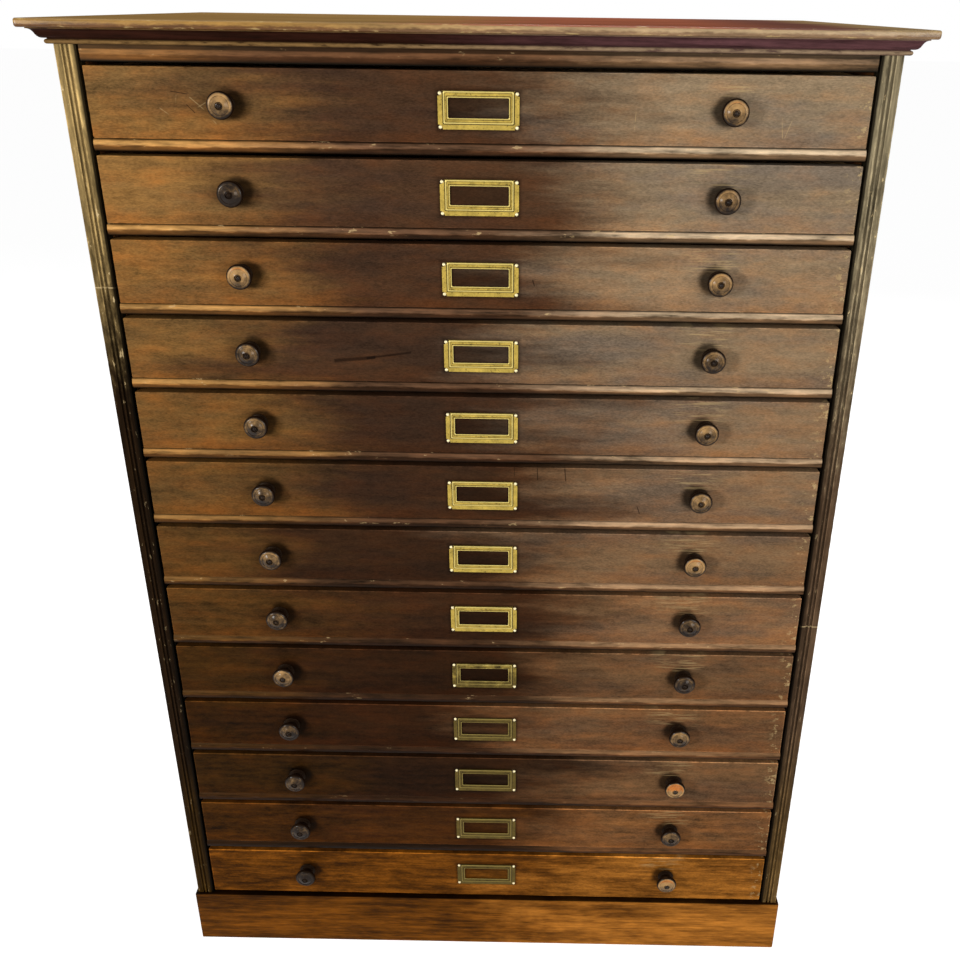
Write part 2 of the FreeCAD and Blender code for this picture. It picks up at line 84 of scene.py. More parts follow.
STILE_LOW, STILE_HIGH = corners("moulded_stiles")
LIP_LOW, LIP_HIGH = corners("top_board")
PLINTH_LOW, PLINTH_HIGH = corners("plinth")
FRONT_LOW, FRONT_HIGH = corners(DRAWERS[0] + "_front")
FACE = STILE_LOW[1]
CASE_BACK = corners("case_panels")[1][1]
HALF_CASE = STILE_HIGH[0]
DRAWER_PITCH = FRONT_LOW[2] - corners(DRAWERS[1] + "_front")[0][2]
FRONT_HEIGHT = FRONT_HIGH[2] - FRONT_LOW[2]
STILE_WIDTH = 26 * MM
HALF_OPENING = HALF_CASE - STILE_WIDTH
print("pitch %.4f, front height %.4f, face at %.4f" % (DRAWER_PITCH, FRONT_HEIGHT, FACE))

# %% [markdown]
# ## Uneven, but smooth
#
# A century of knocks leaves edges that wander a little. Random numbers alone would look like
# sandpaper, so the values sit on a coarse lattice and are blended between its corners. Random
# values are hashed from the lattice's own indices, which gives the same knocks on every run.

# %% Smooth noise
def ripple(points, size, seed=0):
    """Smooth noise from -1 to 1. Each corner of a lattice with cells of the given size gets a
    hashed value, and a point blends the eight round it, by 3t^2 - 2t^3 along each axis."""
    place = points / size + 31.7 * seed
    cell = np.floor(place).astype(np.int64)
    share = place - cell
    share = share * share * (3 - 2 * share)
    total = np.zeros(points.shape[:-1])
    for corner in np.ndindex(2, 2, 2):
        key = (cell + corner) @ np.array([73856093, 19349663, 83492791]) + 7919 * seed
        value = (key * 2654435761 % 4294967296) / 2147483648 - 1
        total += np.prod(np.where(corner, share, 1 - share), axis=-1) * value
    return total


sample = ripple(np.random.default_rng(1).uniform(0, 1, (2000, 3)), 0.02)
print("noise from %.2f to %.2f" % (sample.min(), sample.max()))

# %% [markdown]
# ## From sheets of points to a closed shell
#
# Each shape is worked out as one or more grids of points. Where two grids meet, or a grid
# closes on itself, the same point occurs twice. Merging equal points closes the shell, and
# cells that shrink to nothing at a pole drop out by themselves.

# %% Close and turn a shell
WELD = 1e-7
SHARP_ANGLE = math.radians(38)


def weld(sheets, marks):
    """One closed shell from grids of points. The sign of its volume, the sum of a . (b x c)
    over its triangles, tells whether its faces point inwards, and then they are turned."""
    triangles, start = [], 0
    for sheet in sheets:
        rows, columns = sheet.shape[:2]
        first = (np.arange(rows - 1)[:, None] * columns + np.arange(columns - 1)).ravel() + start
        square = np.stack([first, first + 1, first + columns + 1, first + columns], axis=1)
        triangles += [square[:, [0, 1, 2]], square[:, [0, 2, 3]]]
        start += rows * columns
    points = np.concatenate([sheet.reshape(-1, 3) for sheet in sheets])
    marks = np.concatenate([mark.ravel() for mark in marks])
    _, keep, index = np.unique(np.round(points / WELD), axis=0, return_index=True,
                               return_inverse=True)
    points, marks = points[keep], marks[keep]
    faces = index.ravel()[np.concatenate(triangles)]
    faces = faces[(faces != np.roll(faces, 1, axis=1)).all(axis=1)]
    a, b, c = (points[faces[:, k]] for k in range(3))
    if np.einsum("ij,ij->i", a, np.cross(b, c)).sum() < 0:
        faces = faces[:, ::-1]
    return points, faces, marks


def piece(name, shells, finish, body, slot, *nodes):
    """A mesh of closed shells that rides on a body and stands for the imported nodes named."""
    counts = np.cumsum([0] + [len(shell[0]) for shell in shells])
    points = np.concatenate([shell[0] for shell in shells])
    faces = np.concatenate([shell[1] + count for shell, count in zip(shells, counts)])
    marks = np.concatenate([shell[2] for shell in shells])
    mesh = bpy.data.meshes.new(name)
    mesh.vertices.add(len(points))
    mesh.vertices.foreach_set("co", points.astype(np.float32).ravel())
    mesh.loops.add(faces.size)
    mesh.loops.foreach_set("vertex_index", faces.astype(np.int32).ravel())
    mesh.polygons.add(len(faces))
    mesh.polygons.foreach_set("loop_start", np.arange(0, faces.size, 3, dtype=np.int32))
    mesh.update(calc_edges=True)
    # The mark of each point: wear on edges, and on edges, knobs and brass also painted highlight
    # and painted shade
    worn = mesh.attributes.new("worn", "FLOAT", "POINT")
    worn.data.foreach_set("value", marks.astype(np.float32))
    mesh.shade_smooth()
    mesh.set_sharp_from_angle(angle=SHARP_ANGLE)
    mesh.materials.append(finish)
    made = bpy.data.objects.new(name, mesh)
    bpy.context.scene.collection.objects.link(made)
    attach(made, body)
    if nodes:
        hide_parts(*nodes)
    print("%-24s %6d triangles" % (name, len(faces)))


# %% [markdown]
# ## Three ways to make a shell
#
# Boards have rounded edges that are worn more in some places than in others. A bevel modifier
# rounds an edge evenly, so the rounding is worked out instead, with a radius that wanders.
# Mouldings are one section carried along a path, and knobs are one profile turned on an axis.

# %% Boards with worn edges
# Places of the rows of points beside an edge, as shares of its widest radius
EDGE_ROWS = np.array([0, 0.1, 0.25, 0.45, 0.65, 0.85, 1.05, 1.5])
CROWN = 0.29


def worn_board(low, high, radius, wear, step, seed=0, size=14 * MM):
    """A board. A point q of the plain box moves to c + r (q - c) / |q - c|, where c is q held
    inside the box shrunk by r, and r is the radius plus a share of the wear that wanders.
    The mark of a point is 0 on a flat face and 1 on the crown of an edge, where the largest
    part of a direction is the root of 1/2, about 0.29 under 1."""
    low, high = np.array(low, float), np.array(high, float)
    lines = []
    for start, stop in zip(low, high):
        near = np.minimum((radius + wear) * EDGE_ROWS, 0.49 * (stop - start))
        count = max(2, round((stop - start) / step))
        middle = np.linspace(start + near[-1], stop - near[-1], count)
        lines.append(np.unique(np.concatenate([start + near, middle, stop - near])))
    sheets, marks = [], []
    for axis in range(3):
        first, second = (axis + 1) % 3, (axis + 2) % 3
        for side, turn in ((low, -1), (high, 1)):
            sheet = np.empty((len(lines[first]), len(lines[second]), 3))
            sheet[..., axis] = side[axis]
            sheet[..., first] = lines[first][:, None]
            sheet[..., second] = lines[second][None, :]
            sheets.append(sheet[::turn])
    for number, sheet in enumerate(sheets):
        knock = np.clip(ripple(sheet, size, seed) * 1.3 - 0.1, 0, 1) ** 2
        r = np.minimum((radius + wear * knock)[..., None], 0.49 * (high - low).min())
        core = np.clip(sheet, low + r, high - r)
        away = sheet - core
        length = np.linalg.norm(away, axis=-1, keepdims=True)
        marks.append(np.clip((1 - np.abs(away).max(-1) / length[..., 0]) / CROWN, 0, 1))
        sheets[number] = core + r * away / length
    return weld(sheets, marks)


# %% Sections carried along a path
def spread(x, y, z):
    """X, Y and Z, each spread over rows and columns, as one grid of points."""
    return np.stack(np.broadcast_arrays(x, y, z), axis=-1)


def carried(rings, marks):
    """A row of closed rings made into one shell, each end drawn in to the middle of its ring."""
    marks = np.broadcast_to(marks, rings.shape[:2])
    ends = [np.broadcast_to(ring.mean(0), ring.shape) for ring in (rings[0], rings[-1])]
    grid = np.concatenate([ends[0][None], rings, ends[1][None]])
    return weld([grid], [np.concatenate([marks[:1], marks, marks[-1:]])])


def arc(centre, radius, start, stop, count):
    """Points on an arc: the centre plus the radius times the cosine and sine of each angle."""
    angle = np.radians(np.linspace(start, stop, count))
    return np.array(centre) + radius * np.stack([np.cos(angle), np.sin(angle)], axis=1)


# %% Profiles turned on an axis
def turned(profile, place, steps=72):
    """A profile of radii and reaches turned about the Y axis through a place on the front. A
    point is the place plus (r cos a, -reach, r sin a)."""
    angle = np.linspace(0, 2 * math.pi, steps + 1)
    radius, reach = profile[:, :1], profile[:, 1:]
    across, up = radius * np.cos(angle), radius * np.sin(angle)
    grid = spread(place[0] + across, place[1] - reach, place[2] + up)
    grid[:, -1] = grid[:, 0]
    return grid


# %% [markdown]
# ## A small language for finishes
#
# A finish is a web of shader nodes. Wrapping a socket in a class with arithmetic lets a finish
# read like a formula, and each `+` or `*` adds its node. Colours are written as they look on a
# screen and turned into the linear values that Blender calculates with.

# %% Signals and finishes
def paint(red, green, blue):
    """A screen colour, 0 to 255, as linear light: the inverse of the screen's curve."""
    share = np.array([red, green, blue]) / 255
    linear = np.where(share > 0.04045, ((share + 0.055) / 1.055) ** 2.4, share / 12.92)
    return tuple(float(part) for part in linear) + (1.0,)


class Signal:
    """A number or colour that changes over a surface."""

    def __init__(self, web, socket):
        self.web, self.socket = web, socket

    def math(self, operation, *values):
        inputs = dict(enumerate(values))
        return self.web.node("ShaderNodeMath", {"operation": operation}, inputs)

    def __add__(self, other):
        return self.math("ADD", self, other)

    def __sub__(self, other):
        return self.math("SUBTRACT", self, other)

    def __rsub__(self, other):
        return self.math("SUBTRACT", other, self)

    def __mul__(self, other):
        return self.math("MULTIPLY", self, other)

    __radd__, __rmul__ = __add__, __mul__

    def size(self):
        return self.math("ABSOLUTE", self)

    def swing(self, strength):
        """Noise of 0 to 1 as a swing to both sides of zero."""
        return (self - 0.5) * strength

    def rise(self, low, high):
        """0 below low, 1 above high, and a smooth step between them."""
        ends = {"Value": self, "From Min": low, "From Max": high}
        return self.web.node("ShaderNodeMapRange", {"interpolation_type": "SMOOTHSTEP"}, ends)

    def fall(self, low, high):
        """1 below low and 0 above high."""
        return self.rise(high, low)

    def parts(self, kind="ShaderNodeSeparateXYZ"):
        """The three parts of a place or, with another node, of a colour."""
        split = self.web.node(kind, inputs={0: self}).socket.node
        return [Signal(self.web, socket) for socket in split.outputs]

    def shaded(self, amount):
        """A colour made darker or lighter by a number."""
        inputs = {0: self, "Scale": amount}
        return self.web.node("ShaderNodeVectorMath", {"operation": "SCALE"}, inputs)

    def tinted(self, tint):
        """A colour multiplied by another."""
        settings = {"data_type": "RGBA", "blend_type": "MULTIPLY"}
        return self.web.node("ShaderNodeMix", settings, {0: 1.0, 6: self, 7: tint})

    def blend(self, first, second):
        """The first colour where this is 0, going over to the second where it is 1."""
        inputs = {0: self, 6: first, 7: second}
        return self.web.node("ShaderNodeMix", {"data_type": "RGBA"}, inputs)


def set_stops(ramp, colours):
    """Gives a ramp one step of equal width for each colour."""
    ramp.interpolation = "CONSTANT"
    ramp.elements.remove(ramp.elements[1])
    ramp.elements[0].color = colours[0]
    for number, colour in enumerate(colours[1:], 1):
        ramp.elements.new(number / len(colours)).color = colour


class Web:
    """The nodes of a material or a world."""

    def __init__(self, owner):
        owner.use_nodes = True
        self.tree = owner.node_tree

    def feed(self, target, values):
        """Sets the inputs of a node, or links them where the value is a signal."""
        for name, value in values.items():
            if isinstance(value, Signal):
                self.tree.links.new(value.socket, target.inputs[name])
            else:
                target.inputs[name].default_value = value

    def node(self, kind, settings=None, inputs=None, output=None):
        """A node of any kind: first its settings, then the values or links of its inputs."""
        made = self.tree.nodes.new(kind)
        for name, value in (settings or {}).items():
            if name == "stops":
                set_stops(made.color_ramp, value)
            else:
                setattr(made, name, value)
        self.feed(made, inputs or {})
        shown = [socket for socket in made.outputs if socket.enabled]
        return Signal(self, made.outputs[output] if output else shown[0])


# Gloss has the colour of old varnish
POLISH = (1.0, 0.8, 0.55, 1.0)


class Finish(Web):
    """A material under construction, with the surface's own place ready to use."""

    def __init__(self, name):
        self.material = bpy.data.materials.new(name)
        super().__init__(self.material)
        self.place = self.node("ShaderNodeTexCoord", output="Object")
        self.x, self.y, self.z = self.place.parts()
        self.worn = self.node("ShaderNodeAttribute", {"attribute_name": "worn"}, output="Fac")

    def noise(self, stretch, detail, rough, seed):
        """Noise of 0 to 1, whose cells per metre along X, Y and Z are given by stretch. Detail
        is how many finer noises are added, and rough is the share that each keeps."""
        settings = {"operation": "MULTIPLY_ADD"}
        shift = (seed * 3.17, seed * 5.31, seed * 7.73)
        place = self.node("ShaderNodeVectorMath", settings, {0: self.place, 1: stretch, 2: shift})
        inputs = {"Vector": place, "Scale": 1.0, "Detail": detail, "Roughness": rough}
        return self.node("ShaderNodeTexNoise", inputs=inputs)

    def done(self, colour, rough, height=None, depth=0.3 * MM, strength=0.6, gloss=0.03, **plain):
        """The finished material: its shader gets the values, and a bump from a height."""
        if height:
            bump = {"Height": height, "Distance": depth, "Strength": strength}
            plain["Normal"] = self.node("ShaderNodeBump", inputs=bump)
        values = {"Base Color": colour, "Roughness": rough, "Specular IOR Level": gloss}
        shader = self.tree.nodes["Principled BSDF"]
        self.feed(shader, {**values, "Specular Tint": POLISH, **plain})
        print("%-24s %6d nodes" % (self.material.name, len(self.tree.nodes)))
        return self.material

# %% [markdown]
# ## Old mahogany
#
# Mahogany has fine dark pores along the grain, faint streaks and broad soft figure. Three
# noises, each stretched along the board, give these. Over them lies the old polish of this
# cabinet with painted light and shade in it: golden at the upper left, partly a painted pool of
# light; nearly black left of the middle, partly from hands and partly painted shade; pale and
# hazy on the right, a painted sheen; and darker towards the floor, a painted shade, where new
# wax glows orange.

# %% Grain, polish and painted light
FIRST_FOOT = corners(DRAWERS[-2] + "_front")[0][2] - DRAWER_PITCH
# Zone colours with painted light: a painted pool of light at the upper left, painted shade in the
# middle and at the feet, a painted sheen at the right
LEFT_TOP, LEFT_FOOT = paint(142, 105, 58), paint(54, 33, 10)
MIDDLE_TOP, MIDDLE_FOOT = paint(76, 54, 38), paint(42, 25, 13)
RIGHT_TOP, RIGHT_FOOT = paint(144, 126, 102), paint(108, 80, 54)
WARM, COOL, PLAIN = (1.2, 0.88, 0.64, 1), (0.86, 0.88, 0.98, 1), (1.08, 1.02, 0.94, 1)


def grain(finish, along, seed=0):
    """Broad figure, streaks and pores, stretched along axis 0, 1 or 2 of a board."""
    def stretched(long, across):
        return tuple(long if axis == along else across for axis in range(3))

    figure = finish.noise(stretched(2.2, 16), 3, 0.55, seed)
    streaks = finish.noise(stretched(11, 180), 4, 0.6, seed + 1)
    pores = finish.noise(stretched(70, 1000), 2, 0.5, seed + 2).rise(0.54, 0.68)
    return figure, streaks, pores


def patina_and_painted_light(finish, height, shift=0.0):
    """The colour of the polish at a place on the front, without grain, with painted light in it:
    a painted pool of light at the upper left, painted shade left of the middle and towards the
    floor, and a painted sheen on the right. Its three zones meet at places that wander, and that
    a shift moves sideways."""
    wander = finish.noise((3.5, 3.5, 26), 5, 0.62, 3)
    x = finish.x + wander.swing(0.46) + shift
    # Darker towards the floor: painted shade
    level = height.rise(0.42, 1.32)
    left = level.blend(LEFT_FOOT, LEFT_TOP)
    middle = level.blend(MIDDLE_FOOT, MIDDLE_TOP)
    right = level.blend(RIGHT_FOOT, RIGHT_TOP)
    colour = x.rise(-0.38, -0.14).blend(left, middle)
    # The pale grey right zone is a painted sheen
    return x.rise(0.0, 0.23).blend(colour, right)


def waxed(finish, seed):
    """Waxed wood: dark and orange waves of grain under clouds of stain, lighter to the right."""
    waves = finish.noise((11, 11, 130), 5, 0.68, seed)
    cloud = finish.noise((9, 9, 24), 5, 0.6, seed + 1)
    dashes = finish.noise((55, 55, 420), 3, 0.6, seed + 2)
    side = (finish.x + cloud.swing(0.7)).rise(-0.08, 0.24)
    dark = side.blend(paint(54, 29, 7), paint(92, 53, 15))
    pale = side.blend(paint(138, 80, 20), paint(186, 118, 44))
    share = waves * 0.4 + cloud * 0.4 + dashes * 0.2
    return share.rise(0.34, 0.66).blend(dark, pale)


# %% Finish of the drawer fronts
# How light and how warm the polish of each front is, and how far its dark zone lies to the
# left, all from 0 to 1, from the top drawer down
FRONT_TONES = [
    (0.66, 0.25, 0.5), (0.7, 0.1, 0.45), (0.72, 0.55, 0.5), (0.69, 0.25, 0.65), (0.72, 0.5, 0.5),
    (0.77, 0.45, 0.45), (0.72, 0.3, 0.7), (0.92, 0.45, 0.4), (0.67, 0.3, 0.6), (0.73, 0.7, 0.8),
    (0.73, 0.1, 0.4), (0.8, 0.9, 0.55), (0.66, 1.0, 0.4),
]
KNOBS_LOW, KNOBS_HIGH = corners(DRAWERS[0] + "_knobs")
HOLDER_LOW, HOLDER_HIGH = corners(DRAWERS[0] + "_label_holder")
KNOB_SIZE = KNOBS_HIGH[2] - KNOBS_LOW[2]
KNOB_PLACE = KNOBS_HIGH[0] - KNOB_SIZE / 2
HOLDER_MIDDLE = (HOLDER_LOW[2] + HOLDER_HIGH[2]) / 2 - FRONT_LOW[2]


def stroke(finish, start, stop, width):
    """1 on a straight scratch from one place (x, z) to another, falling to 0 at its edge."""
    run, lift = stop[0] - start[0], stop[1] - start[1]
    middle = ((start[0] + stop[0]) / 2 * MM, 0, (start[1] + stop[1]) / 2 * MM)
    turn = (0, -math.atan2(lift, run), 0)
    inputs = {"Vector": finish.place, "Location": middle, "Rotation": turn}
    turned_place = finish.node("ShaderNodeMapping", {"vector_type": "TEXTURE"}, inputs)
    along, _, across = turned_place.parts()
    half, edge = math.hypot(run, lift) / 2 * MM, width * MM
    return across.size().fall(0.3 * edge, edge) * along.size().fall(half - 2 * MM, half)


# Scratches and splits as start, stop and half width, in millimetres across and above the floor
PALE_STROKES = [
    ((336, 1246), (333, 1270), 0.7), ((338, 1246), (345, 1267), 0.6),
    ((172, 1252), (173, 1276), 0.6), ((-318, 1282), (-302, 1268), 0.7),
    ((-310, 1270), (-299, 1276), 0.6), ((-331, 1284), (-335, 1266), 0.5),
    ((-298, 1262), (-290, 1253), 0.6), ((-352, 1270), (-341, 1262), 0.6),
]
DARK_STROKES = [
    ((41, 843), (41, 829), 0.5), ((70, 843), (71, 824), 0.9), ((105, 843), (107, 823), 1.1),
    ((-338, 1287), (-318, 1284), 0.7), ((-180, 981), (-128, 986), 3.2),
    ((-140, 985), (-84, 993), 2.0), ((61, 1085), (64, 1076), 1.0), ((200, 790), (204, 778), 0.9),
    ((-322, 1274), (-312, 1264), 0.7),
]


def strokes(finish, places):
    """1 on any of the scratches."""
    marks = [stroke(finish, start, stop, width) for start, stop, width in places]
    return sum(marks[1:], marks[0])


# A dark ring round each knob, a little to the inside: partly dirt from hands, partly a painted
# shadow of the knob
DIRT_AND_SHADOW_PLACE = KNOB_PLACE - 5 * MM
DIRT_AND_SHADOW_INNER, DIRT_AND_SHADOW_OUTER = 13 * MM, 21 * MM


def dirt_and_painted_shadow(finish, inside, cloud):
    """Darkening round the knobs and the label holder: partly dirt from hands and polishing
    cloths, partly a painted shadow of the knobs and of the holder.
    """
    up, across = inside - FRONT_HEIGHT / 2, finish.x.size() - DIRT_AND_SHADOW_PLACE
    square = up * up + across * across
    distance = square.math("SQRT", square) + cloud.swing(10) * MM
    knob_dirt_and_shadow = distance.fall(DIRT_AND_SHADOW_INNER, DIRT_AND_SHADOW_OUTER)
    side, rise = finish.x.size() - HOLDER_HIGH[0], (inside - HOLDER_MIDDLE).size()
    rise = rise - (HOLDER_HIGH[2] - HOLDER_LOW[2]) / 2
    holder_dirt_and_shadow = side.math("MAXIMUM", side, rise).fall(0, 5 * MM)
    return knob_dirt_and_shadow * 0.85 + holder_dirt_and_shadow * 0.5


# The polish above the right knobs is rubbed through in dashes
RUBBED_PLACE = KNOB_PLACE - 9 * MM


def front_finish():
    """Horizontal mahogany with a tone of its own for each drawer."""
    finish = Finish("drawer_front_polish")
    figure, streaks, pores = grain(finish, along=0, seed=11)
    level = (finish.z - FIRST_FOOT) * (1 / DRAWER_PITCH)
    number = level.math("FLOOR", level.math("MAXIMUM", level, 0))
    share = (number + 0.5) * (1 / len(FRONT_TONES))
    tones = [tone + (1,) for tone in FRONT_TONES[::-1]]
    tone = finish.node("ShaderNodeValToRGB", {"stops": tones}, {0: share})
    light, warmth, shift = tone.parts("ShaderNodeSeparateColor")[:3]
    inside = (level - number) * DRAWER_PITCH
    middle = number * DRAWER_PITCH + FIRST_FOOT + FRONT_HEIGHT / 2
    colour = patina_and_painted_light(finish, middle, shift.swing(0.25))
    smudge = finish.noise((4, 4, 18), 6, 0.62, 21)
    cloud = finish.noise((18, 18, 55), 5, 0.65, 23)
    mottle = finish.noise((60, 60, 150), 4, 0.6, 22)
    hue = smudge.rise(0.38, 0.6).blend(COOL, PLAIN)
    colour = colour.tinted(hue)
    red = warmth * 0.5 + cloud.swing(2.4) + inside.fall(3 * MM, 24 * MM) * 0.4
    colour = red.blend(colour, colour.tinted(WARM))
    wax = number.fall(0, 1) + warmth.rise(0.8, 1.0) * 0.3
    colour = wax.blend(colour, waxed(finish, 51))
    low = number.fall(1, 8)
    fine = finish.noise((300, 300, 900), 2, 0.5, 26)
    left = finish.x.fall(-0.3, 0)
    uneven = streaks.swing(1.1) + cloud.swing(1.5) + smudge.swing(1.6) + mottle.swing(1.2)
    uneven = uneven * (0.38 + low * 0.4 + left * (0.25 + low * 0.15))
    light = light * 1.28 * (1 + figure.swing(0.5) + uneven + fine.swing(1.1) - pores * 0.04)
    colour = colour.shaded(light)
    # Painted shadow and dirt round the knobs and the label holder
    colour = dirt_and_painted_shadow(finish, inside, cloud).blend(colour, colour.shaded(0.1))
    # Pale edges: partly wear, partly a painted highlight along the top edges, stronger on the low
    # drawers
    edge = finish.worn * (mottle + low * 0.12).rise(0.34, 0.62)
    colour = (edge * 0.8).blend(colour, colour.shaded(2.2 + low * 3.0))
    bare = paint(196, 168, 118)
    chips = finish.noise((130, 130, 170), 4, 0.65, 27)
    ends = finish.x.rise(HALF_OPENING - 26 * MM, HALF_OPENING + 1 * MM) * chips.rise(0.56, 0.62)
    dashes = finish.noise((28, 28, 600), 2, 0.5, 25).rise(0.54, 0.64)
    near_knob = (finish.x - RUBBED_PLACE).size().fall(18 * MM, 45 * MM)
    dashes = dashes * near_knob * inside.rise(44 * MM, 52 * MM)
    colour = (ends * 0.7 + dashes * 0.35).blend(colour, bare)
    pale = strokes(finish, PALE_STROKES) * mottle.rise(0.35, 0.6)
    colour = (pale * 0.4).blend(colour, bare)
    colour = (strokes(finish, DARK_STROKES) * 0.75).blend(colour, paint(24, 14, 8))
    rough = 0.36 + smudge * 0.16 + mottle * 0.16
    height = streaks * 0.6 + mottle * 0.5 - pores * 0.4
    return finish.done(colour, rough, height)


FRONT_FINISH = front_finish()

# %% Finish of the rails and the frieze
RAIL_THICK = 14.5 * MM
RAILS_LOW, RAILS_HIGH = corners("drawer_rails")
FRIEZE_FOOT = RAILS_HIGH[2] - 21.5 * MM


def rail_finish():
    """The same polish, paler along the upper half of the rounded noses, partly wear and partly a
    painted highlight, red below it, and painted nearly black underneath, a painted shade."""
    finish = Finish("rail_polish")
    _, streaks, pores = grain(finish, along=0, seed=31)
    chips = finish.noise((50, 120, 160), 5, 0.65, 33)
    wash = finish.noise((14, 14, 110), 5, 0.68, 34)
    level = (finish.z - RAILS_LOW[2]) * (1 / DRAWER_PITCH)
    rise = (level - level.math("FLOOR", level)) * (DRAWER_PITCH / RAIL_THICK)
    frieze = finish.z.rise(FRIEZE_FOOT - 2.5 * MM, FRIEZE_FOOT - 0.5 * MM)
    colour = patina_and_painted_light(finish, finish.z)
    red = colour.tinted(WARM)
    colour = (frieze * 0.35).blend(colour, paint(150, 100, 62))
    # Upper half of each nose paler: partly wear, partly a painted highlight
    crown = (rise + wash.swing(0.6)).rise(0.42, 0.6)
    rusty = (1 - crown) * 0.8 + frieze * 0.3 + wash.swing(1.5) + finish.z.fall(0.15, 0.5) * 0.7
    colour = rusty.blend(colour, red)
    low = finish.z.rise(0.16, 0.7)
    # The painted highlight on the noses is stronger on the higher rails
    light = 0.4 + low * 0.1 + crown * (0.4 + low * 1.2) * (1 - frieze * 0.76)
    uneven = streaks.swing(2.4) + wash.swing(1.8) + chips.swing(1.2) - pores * 0.15
    # The lowest rail is darker at its left
    darkening = 1 - finish.z.fall(0.2, 0.26) * finish.x.fall(-0.1, 0.15) * 0.6
    # Painted shade: the lower part of each nose is nearly black, and on the higher rails the top,
    # under the front above, is darker
    painted_rail_shade = rise.rise(0.04, 0.34) * (1 - rise.rise(0.82, 0.96) * finish.z.rise(0.45, 0.9) * 0.8)
    colour = colour.shaded(light * darkening * (1 + uneven) * painted_rail_shade)
    nick = chips.rise(0.64, 0.68) * rise.rise(0.3, 0.6) * (1 - frieze * 0.5)
    colour = (nick * low * 0.6).blend(colour, paint(204, 174, 124))
    rough = 0.3 + chips * 0.24
    return finish.done(colour, rough, streaks * 0.4 + chips * 0.8, gloss=0.08)


RAIL_FINISH = rail_finish()

# %% Finish of the stiles
# Heights of the joints where new lengths were let in
HAIRLINE_LEFT, HAIRLINE_RIGHT = 1.067, 0.61


def stile_finish():
    """Upright strips: greenish and rubbed bare at the top, darker further down and along the
    drawers.
    The narrow step beside the drawers is painted nearly black, a painted shade. A pale hairline
    on each side shows where a new length was let in."""
    finish = Finish("stile_polish")
    figure, streaks, pores = grain(finish, along=2, seed=41)
    chips = finish.noise((170, 170, 60), 5, 0.68, 43)
    side = finish.x.rise(-0.1, 0.1)
    height = finish.z + figure.swing(0.4)
    right = height.rise(0.1, 0.5).blend(paint(100, 76, 42), paint(86, 66, 48))
    left = height.rise(0.1, 0.4).blend(paint(58, 39, 11), paint(30, 18, 7))
    lower = side.blend(left, right)
    bare = side.blend(paint(156, 130, 82), paint(148, 134, 104))
    rubbed = (height + chips.swing(0.3) + finish.x * 0.1).rise(0.86, 1.24)
    colour = rubbed.blend(lower, bare)
    inner = HALF_CASE - finish.x.size()
    colour = colour.shaded(1.1 - inner.rise(9 * MM, 17 * MM) * (1 - rubbed) * 0.4)
    colour = colour.shaded(1 + figure.swing(0.8) + streaks.swing(2.6) - pores * 0.2)
    colour = colour.shaded(0.65 + finish.worn * (0.45 + chips.rise(0.4, 0.62) * 0.7))
    speck = chips.rise(0.64, 0.68) * (0.3 + rubbed)
    hairline = (finish.z + side * (HAIRLINE_LEFT - HAIRLINE_RIGHT) - HAIRLINE_LEFT).size()
    speck = speck + hairline.fall(0.5 * MM, 1 * MM) * 0.6
    colour = speck.blend(colour, paint(206, 180, 132))
    # Painted shade: the step beside the drawers is painted nearly black
    colour = colour.shaded(inner.fall(20 * MM, 22.5 * MM) * 0.94 + 0.06)
    return finish.done(colour, 0.36 + chips * 0.25, streaks * 0.5 + chips * 0.8)


STILE_FINISH = stile_finish()

# %% Finish of the plinth
def plinth_finish():
    """Waxed mahogany, more orange than the rest, darker along its upper edge, with its top face
    painted nearly black, a painted shade under the case.
    """
    finish = Finish("plinth_wax")
    figure, streaks, pores = grain(finish, along=0, seed=61)
    colour = waxed(finish, 55)
    # Darker along the upper edge
    darkening = (finish.z + figure.swing(0.05)).rise(PLINTH_HIGH[2] - 0.045, PLINTH_HIGH[2])
    light = 1 + figure.swing(0.9) + streaks.swing(1.6) - pores * 0.15 - darkening * 0.3
    colour = colour.shaded(light + finish.x.rise(-0.05, 0.15) * 0.25)
    colour = (finish.worn * streaks.rise(0.4, 0.6) * 0.5).blend(colour, colour.shaded(1.6))
    # Painted shade: the top face, in the gap under the case, nearly black
    top = finish.z.rise(PLINTH_HIGH[2] - 1.4 * MM, PLINTH_HIGH[2] - 0.5 * MM)
    colour = colour.shaded(1 - top * 0.92)
    return finish.done(colour, 0.42 + figure * 0.15, streaks * 0.8 - pores * 0.5)


PLINTH_FINISH = plinth_finish()

